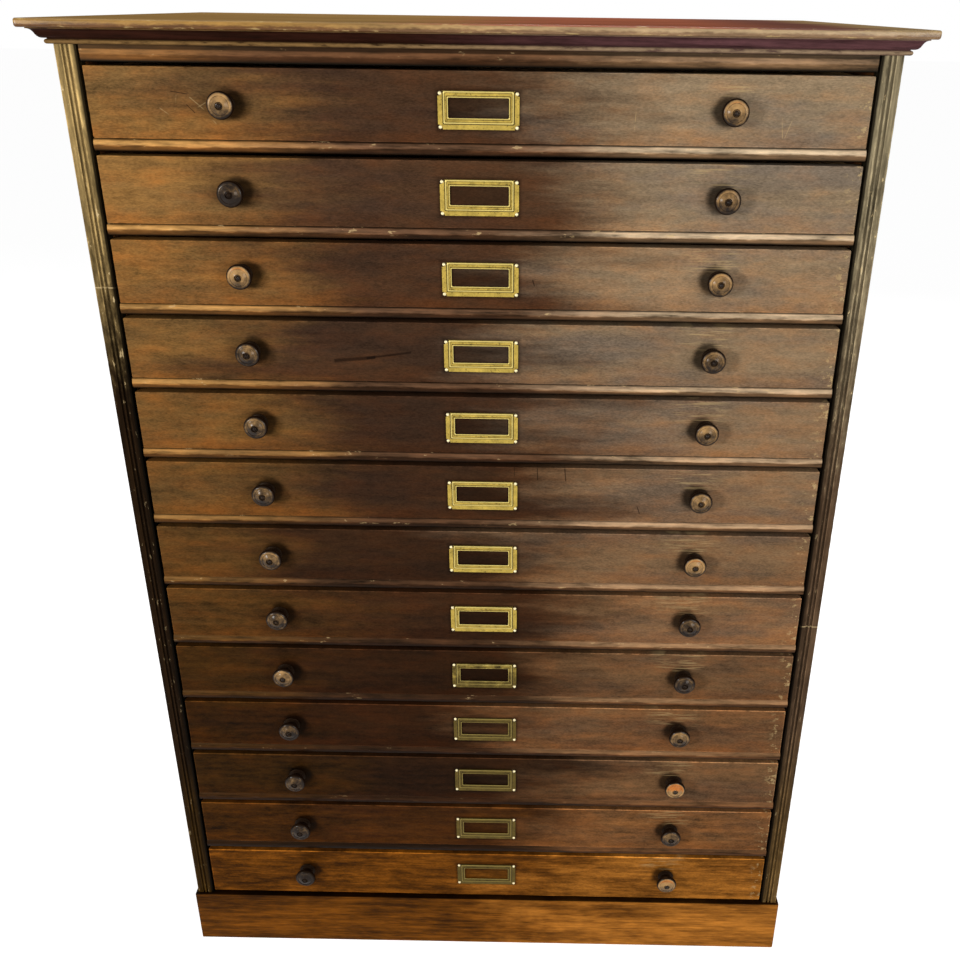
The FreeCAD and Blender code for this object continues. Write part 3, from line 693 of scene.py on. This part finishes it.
# %% Finish of the top board
def top_finish():
    """Polish that is yellow on the left and red on the right, gold and nicked along its edge,
    whose upper half is paler, partly a painted highlight on the rounded top.
    shines when it is seen from above, but not along it, where dust takes the shine."""
    finish = Finish("top_polish")
    figure, streaks, pores = grain(finish, along=0, seed=61)
    chips = finish.noise((60, 110, 260), 5, 0.7, 63)
    x = finish.x + figure.swing(0.12)
    colour = x.rise(-0.14, 0.1).blend(paint(166, 130, 78), paint(168, 98, 72))
    colour = x.rise(0.22, 0.38).blend(colour, paint(122, 80, 68))
    colour = x.rise(0.38, 0.46).blend(colour, paint(166, 138, 96))
    colour = colour.shaded(1 + figure.swing(0.6) + streaks.swing(1.6) - pores * 0.15)
    rim = (finish.z - LIP_HIGH[2] + 2 * MM).fall(0, 1 * MM)
    side = finish.x.rise(-0.25, 0.2)
    upper = side.blend(paint(158, 118, 58), paint(176, 148, 110))
    lower = side.blend(paint(104, 68, 34), paint(136, 106, 76))
    height = finish.z - LIP_HIGH[2] + chips.swing(7) * MM
    # The lip's upper half is paler: partly its polish, partly a painted highlight on the rounded
    # top
    gold = height.rise(-6.5 * MM, -3.5 * MM).blend(lower, upper)
    gold = gold.shaded(1 + streaks.swing(1.4) + chips.swing(1.2))
    colour = rim.blend(colour, gold)
    colour = (finish.worn * chips.rise(0.54, 0.64) * 0.7).blend(colour, paint(214, 186, 122))
    facing = finish.node("ShaderNodeLayerWeight", inputs={"Blend": 0.5}, output="Facing")
    coat = {"Coat Weight": facing.fall(0.5, 0.9) * 0.4, "Coat Roughness": 0.25}
    return finish.done(colour, 0.4 + chips * 0.2, streaks * 0.3 + chips * 0.5, gloss=0, **coat)


TOP_FINISH = top_finish()

# %% Finish of the cornice
def cornice_finish():
    """Polish nearly black on the left and purple brown on the right, partly its own colour and
    partly painted shade under the top board's lip, with a grey gold bead.
    """
    finish = Finish("cornice_polish")
    figure, streaks, pores = grain(finish, along=0, seed=65)
    chips = finish.noise((60, 110, 260), 5, 0.7, 66)
    side = (finish.x + figure.swing(0.3)).rise(-0.1, 0.3)
    # Partly painted shade under the lip
    colour = side.blend(paint(40, 18, 11), paint(84, 54, 56))
    colour = colour.shaded(1 + streaks.swing(2.2) + chips.swing(1.2) - pores * 0.15)
    bead = finish.x.rise(-0.2, 0.2).blend(paint(128, 98, 58), paint(148, 126, 98))
    bead = bead.shaded(1 + chips.swing(1.8))
    colour = (finish.worn * chips.rise(0.25, 0.5) * 0.85).blend(colour, bead)
    return finish.done(colour, 0.34 + chips * 0.2, streaks * 0.3 + chips * 0.5)


CORNICE_FINISH = cornice_finish()

# %% Finish of the side panels
def panel_finish():
    """Wide upright boards of plain polished mahogany."""
    finish = Finish("panel_polish")
    figure, streaks, pores = grain(finish, along=2, seed=71)
    cloud = finish.noise((5, 5, 2), 5, 0.62, 73)
    colour = figure.rise(0.3, 0.75).blend(paint(84, 48, 22), paint(136, 86, 46))
    colour = colour.shaded(1 + streaks.swing(2.2) + cloud.swing(1.4) - pores * 0.25)
    return finish.done(colour, 0.38 + cloud * 0.2, streaks * 0.5 - pores * 0.5, gloss=0.12)


PANEL_FINISH = panel_finish()

# %% Finish of the bare wood inside
def lining_finish(name, along):
    """Planed secondary wood that was never polished, browned by air and by hands."""
    finish = Finish(name)
    figure, streaks, pores = grain(finish, along=along, seed=81)
    cloud = finish.noise((6, 6, 6), 4, 0.6, 83)
    colour = figure.rise(0.3, 0.7).blend(paint(136, 104, 68), paint(172, 138, 96))
    colour = colour.shaded(1 + streaks.swing(1.5) + cloud.swing(0.9) - pores * 0.15)
    return finish.done(colour, 0.7, streaks * 0.6 - pores * 0.3)


LINING_FINISH = lining_finish("tray_wood", along=1)
BACK_FINISH = lining_finish("back_wood", along=2)

# %% Finish of the knobs
def knob_finish():
    """Dark glossy polish, paler golden brown on the face, or orange where the mark is above 1.
    The mark is partly rubbing and partly painted light: a painted highlight on the upper half of
    the head and painted shade along its rim."""
    finish = Finish("knob_polish")
    cloud = finish.noise((110, 110, 110), 5, 0.68, 91)
    rubbed = (finish.worn + cloud.swing(1.1)).rise(0.08, 1.0)
    colour = rubbed.blend(paint(26, 15, 8), paint(168, 130, 82))
    colour = finish.worn.rise(1.0, 1.4).blend(colour, paint(192, 114, 50))
    colour = colour.shaded(1 + cloud.swing(1.4))
    coat = {"Coat Weight": finish.worn.rise(0, 0.08) * 0.25, "Coat Roughness": 0.2}
    return finish.done(colour, 0.3 + cloud * 0.2, cloud, 0.03 * MM, 0.3, gloss=0.06, **coat)


KNOB_FINISH = knob_finish()

# %% Finish of the brass
def brass_finish():
    """Old brass: yellow, duller on the low drawers. Creases are painted nearly black, partly dirt
    and partly painted shade; edges are paler, partly wear and partly a painted highlight; pins
    are near white, a painted glint. The mark is 0 in a crease, 1 on the sheet, 1.4 on an edge and
    2 on a pin."""
    finish = Finish("label_brass")
    cloud = finish.noise((70, 70, 70), 5, 0.68, 95)
    fine = finish.noise((420, 420, 420), 3, 0.5, 96)
    bright = (finish.z + cloud.swing(0.2)).rise(0.5, 0.6)
    colour = bright.blend(paint(88, 73, 30), paint(176, 150, 68))
    colour = colour.shaded(1 + cloud.swing(1.8) - fine.rise(0.56, 0.68) * 0.5)
    rim = bright.blend(paint(134, 117, 62), paint(210, 190, 112))
    # Paler edges: partly wear, partly a painted highlight; nearly black creases: partly dirt,
    # partly painted shade; near white pins: a painted glint
    colour = finish.worn.rise(1.0, 1.4).blend(colour, rim)
    colour = finish.worn.rise(0.1, 0.9).blend(paint(34, 25, 10), colour)
    colour = finish.worn.rise(1.5, 1.9).blend(colour, paint(236, 222, 176))
    return finish.done(colour, 0.34 + cloud * 0.2, fine, 0.05 * MM, 0.4, gloss=0.3, Metallic=0.5)


BRASS_FINISH = brass_finish()

# %% [markdown]
# ## The top board and its cornice
#
# The thin edge of the top board has lost its crispness: it is rounded, and nicked where things
# were slid across it. Below it an ogee and a small bead carry the eye back to the case.
# The moulding is one section carried round three sides, so its corners are true mitres.

# %% Top board
LIP_FOOT = LIP_HIGH[2] - 9 * MM
lip = worn_board((LIP_LOW[0], LIP_LOW[1], LIP_FOOT), LIP_HIGH, 2.6 * MM, 1.8 * MM, 6 * MM, seed=2)
core = worn_board((-HALF_CASE, FACE, LIP_LOW[2]), (HALF_CASE, CASE_BACK, LIP_FOOT),
                  0.4 * MM, 0, 60 * MM)
piece("top_board_worn", [lip, core], TOP_FINISH, "cabinet", "top_wood", "top_board")

# %% Cornice
CORNICE_LOW, CORNICE_HIGH = corners("cornice_moulding")
CORNICE_HEIGHT = CORNICE_HIGH[2] - CORNICE_LOW[2]
OGEE_REACH = CORNICE_HIGH[0] - HALF_CASE
OGEE_FOOT, OGEE_FILLET = 6.5 * MM, 1.2 * MM
BEAD_BACK, BEAD_RADIUS, BEAD_QUIRK = 4 * MM, 2.5 * MM, 0.8 * MM
BEAD_POINTS = 13


def cornice_section():
    """Reach, rise and rubbing of the moulding: a half round bead, a sunk line, and an ogee that
    rises as (1 - cos a) / 2 while its reach grows with a + sin(2 a) / 5, for a from 0 to pi."""
    bead = arc((BEAD_BACK, BEAD_RADIUS), BEAD_RADIUS, -90, 90, BEAD_POINTS)
    low, high = 2 * BEAD_RADIUS + BEAD_QUIRK, CORNICE_HEIGHT - OGEE_FILLET
    turn = np.linspace(0, math.pi, 22)
    reach = OGEE_FOOT + (OGEE_REACH - OGEE_FOOT) * (turn + np.sin(2 * turn) / 5) / math.pi
    ogee = np.stack([reach, low + (high - low) * (1 - np.cos(turn)) / 2], axis=1)
    edges = np.array([[OGEE_REACH, CORNICE_HEIGHT], [0, CORNICE_HEIGHT], [0, 0], bead[0]])
    section = np.concatenate([bead, [[BEAD_BACK, low]], ogee, edges])
    rubbed = np.zeros(len(section))
    rubbed[:BEAD_POINTS] = np.cos(np.radians(np.linspace(-90, 90, BEAD_POINTS)))
    rubbed[-6:-3] = 0.6
    return section, rubbed


def cornice_shell():
    """The section carried along the left side, the front and the right side of the case. A
    point with reach e stands on the outline of the case pushed out by e."""
    section, rubbed = cornice_section()
    reach, rise = section[:, 0], section[:, 1]
    steps = [np.linspace(0, 1, count, endpoint=False) for count in (120, 200)]
    along = np.concatenate([steps[0], 1 + steps[1], 2 + np.linspace(0, 1, 121)])[:, None]
    edge, front = HALF_CASE + reach, FACE - reach
    x = np.where(along < 1, -edge, np.where(along > 2, edge, (2 * along - 3) * edge))
    y = np.where(along < 1, CASE_BACK + (front - CASE_BACK) * along, front)
    y = np.where(along > 2, front + (CASE_BACK - front) * (along - 2), y)
    rings = spread(x, y, CORNICE_LOW[2] + rise)
    knock = np.clip(ripple(rings, 11 * MM, 5) - 0.35, 0, 1) * 1.1 * MM * (reach > BEAD_RADIUS)
    rings[..., 1] += knock * (np.abs(along - 1.5) < 0.5)
    return carried(rings, rubbed)


piece("cornice_worn", [cornice_shell()], CORNICE_FINISH, "cabinet", "case_wood",
      "cornice_moulding")

# %% [markdown]
# ## Rails and frieze
#
# A rail divides two drawers. Its front edge is rounded like a finger, and it is the part that
# hands, sleeves and drawers rub most. The section is carried across the opening, and small
# dents are pressed into its nose.

# %% Rails
NOSE_DEPTH = 4.5 * MM


def rail_shell(foot, seed):
    """A rail: its nose follows a half ellipse, y = FACE + depth (1 - cos a) for a from -90 to
    90 degrees, pushed in by noise, and its body runs back behind the stiles."""
    angle = np.radians(np.linspace(-90, 90, 17))
    nose_y = FACE + NOSE_DEPTH * (1 - np.cos(angle))
    nose_z = foot + RAIL_THICK / 2 * (1 + np.sin(angle))
    back = RAILS_HIGH[1]
    section_y = np.concatenate([nose_y, [back, back], nose_y[:1]])
    section_z = np.concatenate([nose_z, [foot + RAIL_THICK, foot], nose_z[:1]])
    x = np.linspace(-HALF_OPENING, HALF_OPENING, 220)[:, None]
    rings = spread(x, section_y, section_z)
    crown = np.concatenate([np.cos(angle), [0, 0], np.cos(angle[:1])])
    dent = np.clip(ripple(rings, np.array([13, 30, 7]) * MM, seed) - 0.2, 0, 1) ** 1.5
    wobble = 0.25 * MM * (1 + ripple(rings, 60 * MM, seed + 50))
    rings[..., 1] += (crown > 0.05) * (1.8 * MM * dent * crown + wobble)
    return carried(rings, crown)


rail_feet = [RAILS_LOW[2] + number * DRAWER_PITCH for number in range(len(DRAWERS) - 1)]
rails = [rail_shell(foot, seed) for seed, foot in enumerate(rail_feet)]
frieze = worn_board((-HALF_OPENING, FACE + 0.3 * MM, FRIEZE_FOOT),
                    (HALF_OPENING, RAILS_HIGH[1], RAILS_HIGH[2]),
                    1.2 * MM, 1.6 * MM, 7 * MM, seed=8)
piece("rails_worn", rails + [frieze], RAIL_FINISH, "cabinet", "case_wood", "drawer_rails")

# %% [markdown]
# ## Stiles
#
# Each stile is a strip with a bead sunk between two grooves, and a narrow step beside the
# drawers. Its section is written once, from the outer edge inwards, and mirrored for the
# other side.

# %% Stiles
QUIRK_WIDTH, QUIRK_DEPTH = 2 * MM, 5 * MM
REED_WIDTH, REED_GROOVE, REED_DEPTH = 2.8 * MM, 2.4 * MM, 2.2 * MM
BAND = (STILE_WIDTH - QUIRK_WIDTH - REED_WIDTH - 2 * REED_GROOVE) / 2
EDGE_EASE, FLAT_INSET = 0.9 * MM, 1.4 * MM
FLAT_SHELTER = 0.8


def stile_section():
    """Distance in from the outer edge, depth behind the face, and how exposed each point is."""
    ease = EDGE_EASE * (1 + arc((0, 0), 1, 180, 90, 5) * [1, -1])

    def edge(place, turn):
        """The softened corner at a place where a flat starts (turn 1) or ends (turn -1)."""
        return ([place, 0] + ease * [turn, 1])[::turn]

    def flat(start, stop):
        return np.linspace((start + FLAT_INSET, 0), (stop - FLAT_INSET, 0), 4)

    groove = BAND + REED_GROOVE
    bead = arc((groove + REED_WIDTH / 2, REED_WIDTH / 2), REED_WIDTH / 2, 180, 360, 9)
    bead[:, 1] = np.clip(bead[:, 1], 0, None)
    inner, back = STILE_WIDTH - QUIRK_WIDTH, STILE_HIGH[1] - FACE
    last = groove + REED_WIDTH + REED_GROOVE
    parts = [
        edge(0, 1), flat(0, BAND), edge(BAND, -1),
        np.array([[BAND, REED_DEPTH], [groove, REED_DEPTH]]),
        bead,
        np.array([[groove + REED_WIDTH, REED_DEPTH], [last, REED_DEPTH]]),
        edge(last, 1), flat(last, inner), edge(inner, -1),
        np.array([[inner, QUIRK_DEPTH], [STILE_WIDTH, QUIRK_DEPTH]]),
        np.array([[STILE_WIDTH, back], [0, back]]),
    ]
    section = np.concatenate(parts + [parts[0][:1]])
    exposed = np.clip(1 - section[:, 1] / EDGE_EASE, 0, 1)
    exposed[5:9] -= FLAT_SHELTER
    exposed[-13:-9] -= FLAT_SHELTER
    return section, np.clip(exposed, 0, 1)


def stile_shell(side, seed):
    """The section carried up one side; dents push exposed points back into the wood."""
    section, exposed = stile_section()
    z = np.linspace(STILE_LOW[2], STILE_HIGH[2], 320)[:, None]
    rings = spread(side * (HALF_CASE - section[:, 0]), FACE + section[:, 1], z)
    dent = np.clip(ripple(rings, np.array([6, 30, 11]) * MM, seed) - 0.25, 0, 1) ** 1.3
    rings[..., 1] += 1.6 * MM * dent * (section[:, 1] < 1.2 * MM)
    return carried(rings, exposed)


stiles = [stile_shell(side, 70 + side) for side in (-1, 1)]
piece("stiles_worn", stiles, STILE_FINISH, "cabinet", "stile_wood", "moulded_stiles")

# %% [markdown]
# ## Drawer fronts
#
# The fronts are plain boards with softened edges. Each stops a hair short of the dovetails of
# its tray, which therefore show at its ends when the drawer is open, as they do on the bench.

# %% Fronts
TAIL_SHOW = np.array([0.15 * MM, 0, 0])

for seed, name in enumerate(DRAWERS, 21):
    low, high = corners(name + "_front")
    shell = worn_board(low + TAIL_SHOW, high - TAIL_SHOW, 1.3 * MM, 1.3 * MM, 6 * MM, seed=seed)
    piece(name + "_front_worn", [shell], FRONT_FINISH, name, "front_wood", name + "_front")

# %% [markdown]
# ## Knobs
#
# A knob is turned on a lathe, so its whole shape is one profile: a flared foot, a waist, a
# full rim, a domed face with a sunk ring, and a small button in the middle.

# %% Knobs
# How far the face of each knob is rubbed to golden wood, left and right, from the top down
KNOB_RUBBING = [
    (0.75, 0.85), (0.2, 0.6), (0.9, 0.8), (0.4, 0.5), (0.45, 0.65), (0.35, 0.6), (0.5, 0.9),
    (0.35, 0.35), (0.6, 0.25), (0.25, 0.5), (0.25, 1.4), (0.2, 0.4), (0.1, 1.05),
]


def knob_profile():
    """Radius and reach from the drawer front, with how pale each point is: rubbing on the face,
    and painted shade on the outer side of the rim and behind it. Foot and rim are arcs, the waist
    is r = 7.6 + 1.2 t^2 for t from -1 to 1, and the inner face and the button are domes whose
    reach falls with the square of their radius."""
    foot = np.concatenate([[[0, 0], [11.2, 0]], arc((10.9, 1.4), 0.9, -60, 75, 6)])
    t = np.linspace(-1, 1, 9)
    waist = np.stack([7.6 + 1.2 * t ** 2, 6.2 + 3.4 * t], axis=1)
    back = np.array([[9.9, 10.6], [11.6, 11.6], [12.8, 12.7]])
    rim = arc((10.9, 16.7), 4.1, -48, 98, 22)
    r = np.linspace(9.7, 4.5, 9)
    dome = np.stack([r, 23.8 - 0.034 * r ** 2], axis=1)
    ring = np.array([[4.2, 22.6], [3.7, 21.9], [3.1, 22.0]])
    r = np.linspace(2.9, 0, 7)
    button = np.stack([r, 24.5 - 0.23 * r ** 2], axis=1)
    profile = np.concatenate([foot, waist, back, rim, [[10.1, 20.5]], dome, ring, button])
    radius, reach = profile.T
    # Below the crown of the rim the mark stays 0: painted shade on the rim's outer side and
    # behind it
    rubbed = np.interp(reach, [19.6, 20.4, 20.8], [0, 0.7, 0.9])
    rubbed += 0.15 * (radius > 9.5) * (reach > 20.6)
    rubbed[(radius > 9.9) & (radius < 10.2)] = 0.1
    rubbed[(radius < 4.3) & (reach < 22)] = -0.6
    rubbed[radius < 3] = 0.1
    return profile * MM, rubbed


def knob_shells(name, rubbing):
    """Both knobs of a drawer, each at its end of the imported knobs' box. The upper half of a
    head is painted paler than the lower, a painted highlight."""
    low, high = corners(name + "_knobs")
    profile, rubbed = knob_profile()
    radius, centre = (high[2] - low[2]) / 2, (low[2] + high[2]) / 2
    shells = []
    for side, share in zip((low[0] + radius, high[0] - radius), rubbing):
        grid = turned(profile, (side, high[1], centre))
        upper = (grid[..., 2] - centre) / radius
        # Painted highlight: the upper half of each head is paler
        shells.append(weld([grid], [rubbed[:, None] * share * (0.85 + 0.65 * upper)]))
    return shells


for name, rubbing in zip(DRAWERS, KNOB_RUBBING):
    piece(name + "_knobs_turned", knob_shells(name, rubbing), KNOB_FINISH, name, "knob_wood",
          name + "_knobs")

# %% [markdown]
# ## Label holders
#
# A label holder is pressed from one sheet of brass. A flange lies on the drawer front at the
# left, right and bottom, and a raised frame, open at the top, takes the card. Loops that run
# round the window, one inside the other, describe it: each has its own size, depth and corner.
# The corners of the flange are cut out round the four pins that hold it.

# %% Label holders
WINDOW_WIDTH, WINDOW_HEIGHT, TOP_BAND, FLANGE = 67 * MM, 21.2 * MM, 7 * MM, 6.2 * MM
SHEET, NOTCH = 0.8 * MM, 5.2 * MM
SHEET_EASE, SUNK = 0.35 * MM, 0.5 * MM


def loop(half_width, foot, head, corner, reach):
    """A rectangle with four corners of the given radius, rounded outwards or, when the radius
    is below zero, hollowed round the corner itself. All loops have as many points."""
    turn = np.linspace(0, math.pi / 2, 7)
    quarters = []
    for number, (sx, sz) in enumerate(((1, 1), (-1, 1), (-1, -1), (1, -1))):
        bend = np.stack([np.cos(turn), np.sin(turn)], axis=1)
        if number % 2:
            bend = bend[:, ::-1]
        inward = 1 - bend if corner >= 0 else bend[:, ::-1]
        place = (sx * half_width, head if sz > 0 else foot)
        quarters.append(place - abs(corner) * inward * (sx, sz))
    x, z = np.concatenate(quarters + [quarters[0][:1]]).T
    return spread(x, -reach, z)


def holder_shell(low, high):
    """The pressed sheet, from the window outwards over the frame and the flange, and back. Its
    mark is 0 in the creases, painted dark as dirt and painted shade, 1 on the sheet and 1.4 on
    edges, painted pale as wear and a painted highlight."""
    thick, half, ease = high[1] - low[1], (high[0] - low[0]) / 2, SHEET_EASE

    def window(extra, reach):
        head = high[2] - TOP_BAND
        return loop(WINDOW_WIDTH / 2 + extra, head - WINDOW_HEIGHT - extra, head + extra,
                    1.2 * MM, reach)

    def wall(extra, reach):
        return loop(half - FLANGE + extra, low[2] + FLANGE - extra,
                    high[2] + min(extra, 0) - 0.2 * MM, 1.6 * MM, reach)

    def flange(extra, reach):
        return loop(half + extra, low[2] - extra, high[2] + min(extra, 0), -NOTCH, reach)

    loops, marks = zip(
        (window(0.3 * MM, thick - SHEET), 0), (window(0, thick - SHEET + ease), 0.7),
        (window(0, thick - ease), 1.4), (window(ease, thick), 1.4), (window(1.3 * MM, thick), 1),
        (window(1.6 * MM, thick - SUNK), 0.1), (window(2.5 * MM, thick - SUNK), 1),
        (wall(-2.6 * MM, thick - SUNK), 1), (wall(-1.8 * MM, thick - SUNK), 0.3),
        (wall(-1.5 * MM, thick), 1.2), (wall(-ease, thick), 1.4), (wall(0, thick - ease), 1.2),
        (wall(0, SHEET + ease), 0), (wall(ease, SHEET), 0), (wall(1.3 * MM, SHEET), 0.8),
        (flange(-ease / 2, SHEET), 0.9), (flange(0, SHEET - ease), 0.5), (flange(0, 0), 0),
        (wall(-1.4 * MM, 0), 0), (wall(-1.4 * MM, thick - SHEET), 0),
        (window(0.3 * MM, thick - SHEET), 0),
    )
    grid = np.stack(loops) + np.array([(low[0] + high[0]) / 2, high[1], 0])
    return weld([grid], [np.repeat(marks, grid.shape[1])])


def pin_shells(low, high):
    """Four round head pins, one in each cut out corner, with a mark of 2, which paints them near
    white, a painted glint.
    """
    dome = np.linspace(0, math.pi / 2, 6)
    head = np.stack([2.1 * np.cos(dome), 0.5 + 1.5 * np.sin(dome)], axis=1)
    profile = np.concatenate([[[0, 0], [2.1, 0]], head]) * MM
    inset = NOTCH / 2
    places = [(x, high[1], z) for x in (low[0] + inset, high[0] - inset)
              for z in (low[2] + inset, high[2] - inset)]
    grids = [turned(profile, place, steps=20) for place in places]
    return [weld([grid], [np.full(grid.shape[:2], 2.0)]) for grid in grids]


for name in DRAWERS:
    low, high = corners(name + "_label_holder")
    piece(name + "_holder_pressed", [holder_shell(low, high), *pin_shells(low, high)],
          BRASS_FINISH, name, "label_brass", name + "_label_holder")

# %% [markdown]
# ## Plinth
#
# Four boards, mitred at the front corners, with a three cornered block glued into each corner.
# A mitre is the same board with its end sheared by one millimetre for each millimetre of depth.

# %% Plinth
PLINTH_BOARD = 18 * MM
BLOCK, BLOCK_DROP = 40 * MM, 12 * MM
PLINTH_INSIDE = PLINTH_HIGH[0] - PLINTH_BOARD
PLINTH_WEAR = (1.4 * MM, 1.4 * MM, 9 * MM)


def plinth_front():
    """The front board, with mitred ends."""
    high = (PLINTH_HIGH[0], PLINTH_LOW[1] + PLINTH_BOARD, PLINTH_HIGH[2])
    points, faces, marks = worn_board((*PLINTH_LOW[:2], 0), high, *PLINTH_WEAR, seed=91)
    points[:, 0] *= 1 - (points[:, 1] - PLINTH_LOW[1]) / PLINTH_HIGH[0]
    return points, faces, marks


def plinth_sides():
    """The right board, with a mitred front end, and its mirror image."""
    low = (PLINTH_INSIDE, PLINTH_LOW[1], 0)
    points, faces, marks = worn_board(low, PLINTH_HIGH, *PLINTH_WEAR, seed=92)
    share = (PLINTH_HIGH[1] - points[:, 1]) / (PLINTH_HIGH[1] - PLINTH_LOW[1])
    points[:, 1] += (PLINTH_HIGH[0] - points[:, 0]) * share
    return [(points, faces, marks), (points * [-1, 1, 1], faces[:, ::-1], marks)]


def block_shell(side, end):
    """A glue block: a right angled triangle carried up between its two ends."""
    x = side * PLINTH_INSIDE
    y = PLINTH_LOW[1] + PLINTH_BOARD if end < 0 else PLINTH_HIGH[1] - PLINTH_BOARD
    plan = np.array([[x, y], [x - side * BLOCK, y], [x, y - end * BLOCK], [x, y]])
    ends = np.array([[BLOCK_DROP], [PLINTH_HIGH[2] - BLOCK_DROP]])
    return carried(spread(plan[:, 0], plan[:, 1], ends), 0.0)


rear = worn_board((-PLINTH_INSIDE, PLINTH_HIGH[1] - PLINTH_BOARD, 0),
                  (PLINTH_INSIDE, PLINTH_HIGH[1], PLINTH_HIGH[2]),
                  0.6 * MM, 0.4 * MM, 12 * MM, seed=96)
blocks = [block_shell(side, end) for side in (-1, 1) for end in (-1, 1)]
piece("plinth_worn", [plinth_front(), *plinth_sides(), rear, *blocks], PLINTH_FINISH,
      "cabinet", "plinth_wood", "plinth")

# %% [markdown]
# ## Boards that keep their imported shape
#
# The panels, the back, the runners and the trays are plain boards already, so they keep the
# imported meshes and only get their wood.

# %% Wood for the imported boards
def dress(node, finish):
    """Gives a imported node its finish."""
    materials = frame["nodes"][node].data.materials
    materials.clear()
    materials.append(finish)


dress("case_panels", PANEL_FINISH)
dress("back_boards", BACK_FINISH)
dress("runners_and_stops", LINING_FINISH)
for name in DRAWERS:
    dress(name + "_tray", LINING_FINISH)

# %% [markdown]
# ## Floor, light and camera
#
# A pale floor and three soft lamps show the shapes without drama. The floor and the world look
# white to the camera, and in brass and polish, but they light the cabinet more gently.

# %% Floor
SEEN_BY = ["Is Camera Ray", "Is Glossy Ray", "Is Transmission Ray"]
FLOOR_LIFT, FLOOR_WIDTH = 0.8, 60
BLACK, WHITE = (0, 0, 0, 1), (1, 1, 1, 1)


def seen(web):
    """1 for a ray that comes from the camera, from gloss or from glass, and 0 for others."""
    rays = [web.node("ShaderNodeLightPath", output=kind) for kind in SEEN_BY]
    return sum(rays[1:], rays[0]).rise(0, 1)


def floor_finish():
    """Plain pale floor, which looks nearly white, with the cabinet's shadow on it."""
    finish = Finish("pale_floor")
    white = seen(finish).blend(BLACK, WHITE)
    plain = {"Emission Color": white, "Emission Strength": FLOOR_LIFT}
    return finish.done((0.6, 0.6, 0.6, 1), 0.9, gloss=0, **plain)


bpy.ops.mesh.primitive_plane_add(size=FLOOR_WIDTH)
floor = bpy.context.object
floor.name = "floor"
floor.data.materials.append(floor_finish())

# %% World
WORLD_LIGHT = 0.3
world = bpy.data.worlds.new("studio")
bpy.context.scene.world = world
web = Web(world)
ends = {"Value": seen(web), "To Min": WORLD_LIGHT, "To Max": 1.0}
strength = web.node("ShaderNodeMapRange", inputs=ends)
web.feed(web.tree.nodes["Background"], {"Color": WHITE, "Strength": strength})

# %% Lamps
def lamp(name, place, target, size, power):
    """A large square lamp that faces a target."""
    data = bpy.data.lights.new(name, "AREA")
    data.size, data.energy = size, power
    made = bpy.data.objects.new(name, data)
    made.location = place
    made.rotation_euler = (Vector(target) - Vector(place)).to_track_quat("-Z", "Y").to_euler()
    bpy.context.scene.collection.objects.link(made)


middle = (0, FACE, 0.75)
lamp("lamp_left", (-1.8, -2.2, 1.4), middle, 0.5, 39)
lamp("lamp_right", (1.5, -2.3, 1.4), middle, 1.1, 30)
lamp("lamp_back", (0.4, 2.4, 2.6), (0, 0, 0.9), 1.0, 60)

# %% Camera
PICTURE = 960
FOCAL_PIXELS, OFF_CENTRE_PIXELS = 1024.7, 55.3
SENSOR = 36
CAMERA_PLACE = (0.075, FACE - 1.190, 1.380)
PITCH, YAW, ROLL = math.radians(25.0), math.radians(0.346), math.radians(0.788)
camera_data = bpy.data.cameras.new("camera")
camera_data.sensor_width = SENSOR
camera_data.lens = SENSOR * FOCAL_PIXELS / PICTURE
camera_data.shift_x = -OFF_CENTRE_PIXELS / PICTURE
camera = bpy.data.objects.new("camera", camera_data)
bpy.context.scene.collection.objects.link(camera)
turn = Matrix.Rotation(YAW, 4, "Z") @ Matrix.Rotation(math.pi / 2 - PITCH, 4, "X")
turn = turn @ Matrix.Rotation(ROLL, 4, "Z")
camera.matrix_world = Matrix.Translation(CAMERA_PLACE) @ turn
bpy.context.scene.camera = camera
bpy.context.scene.view_settings.view_transform = "Standard"
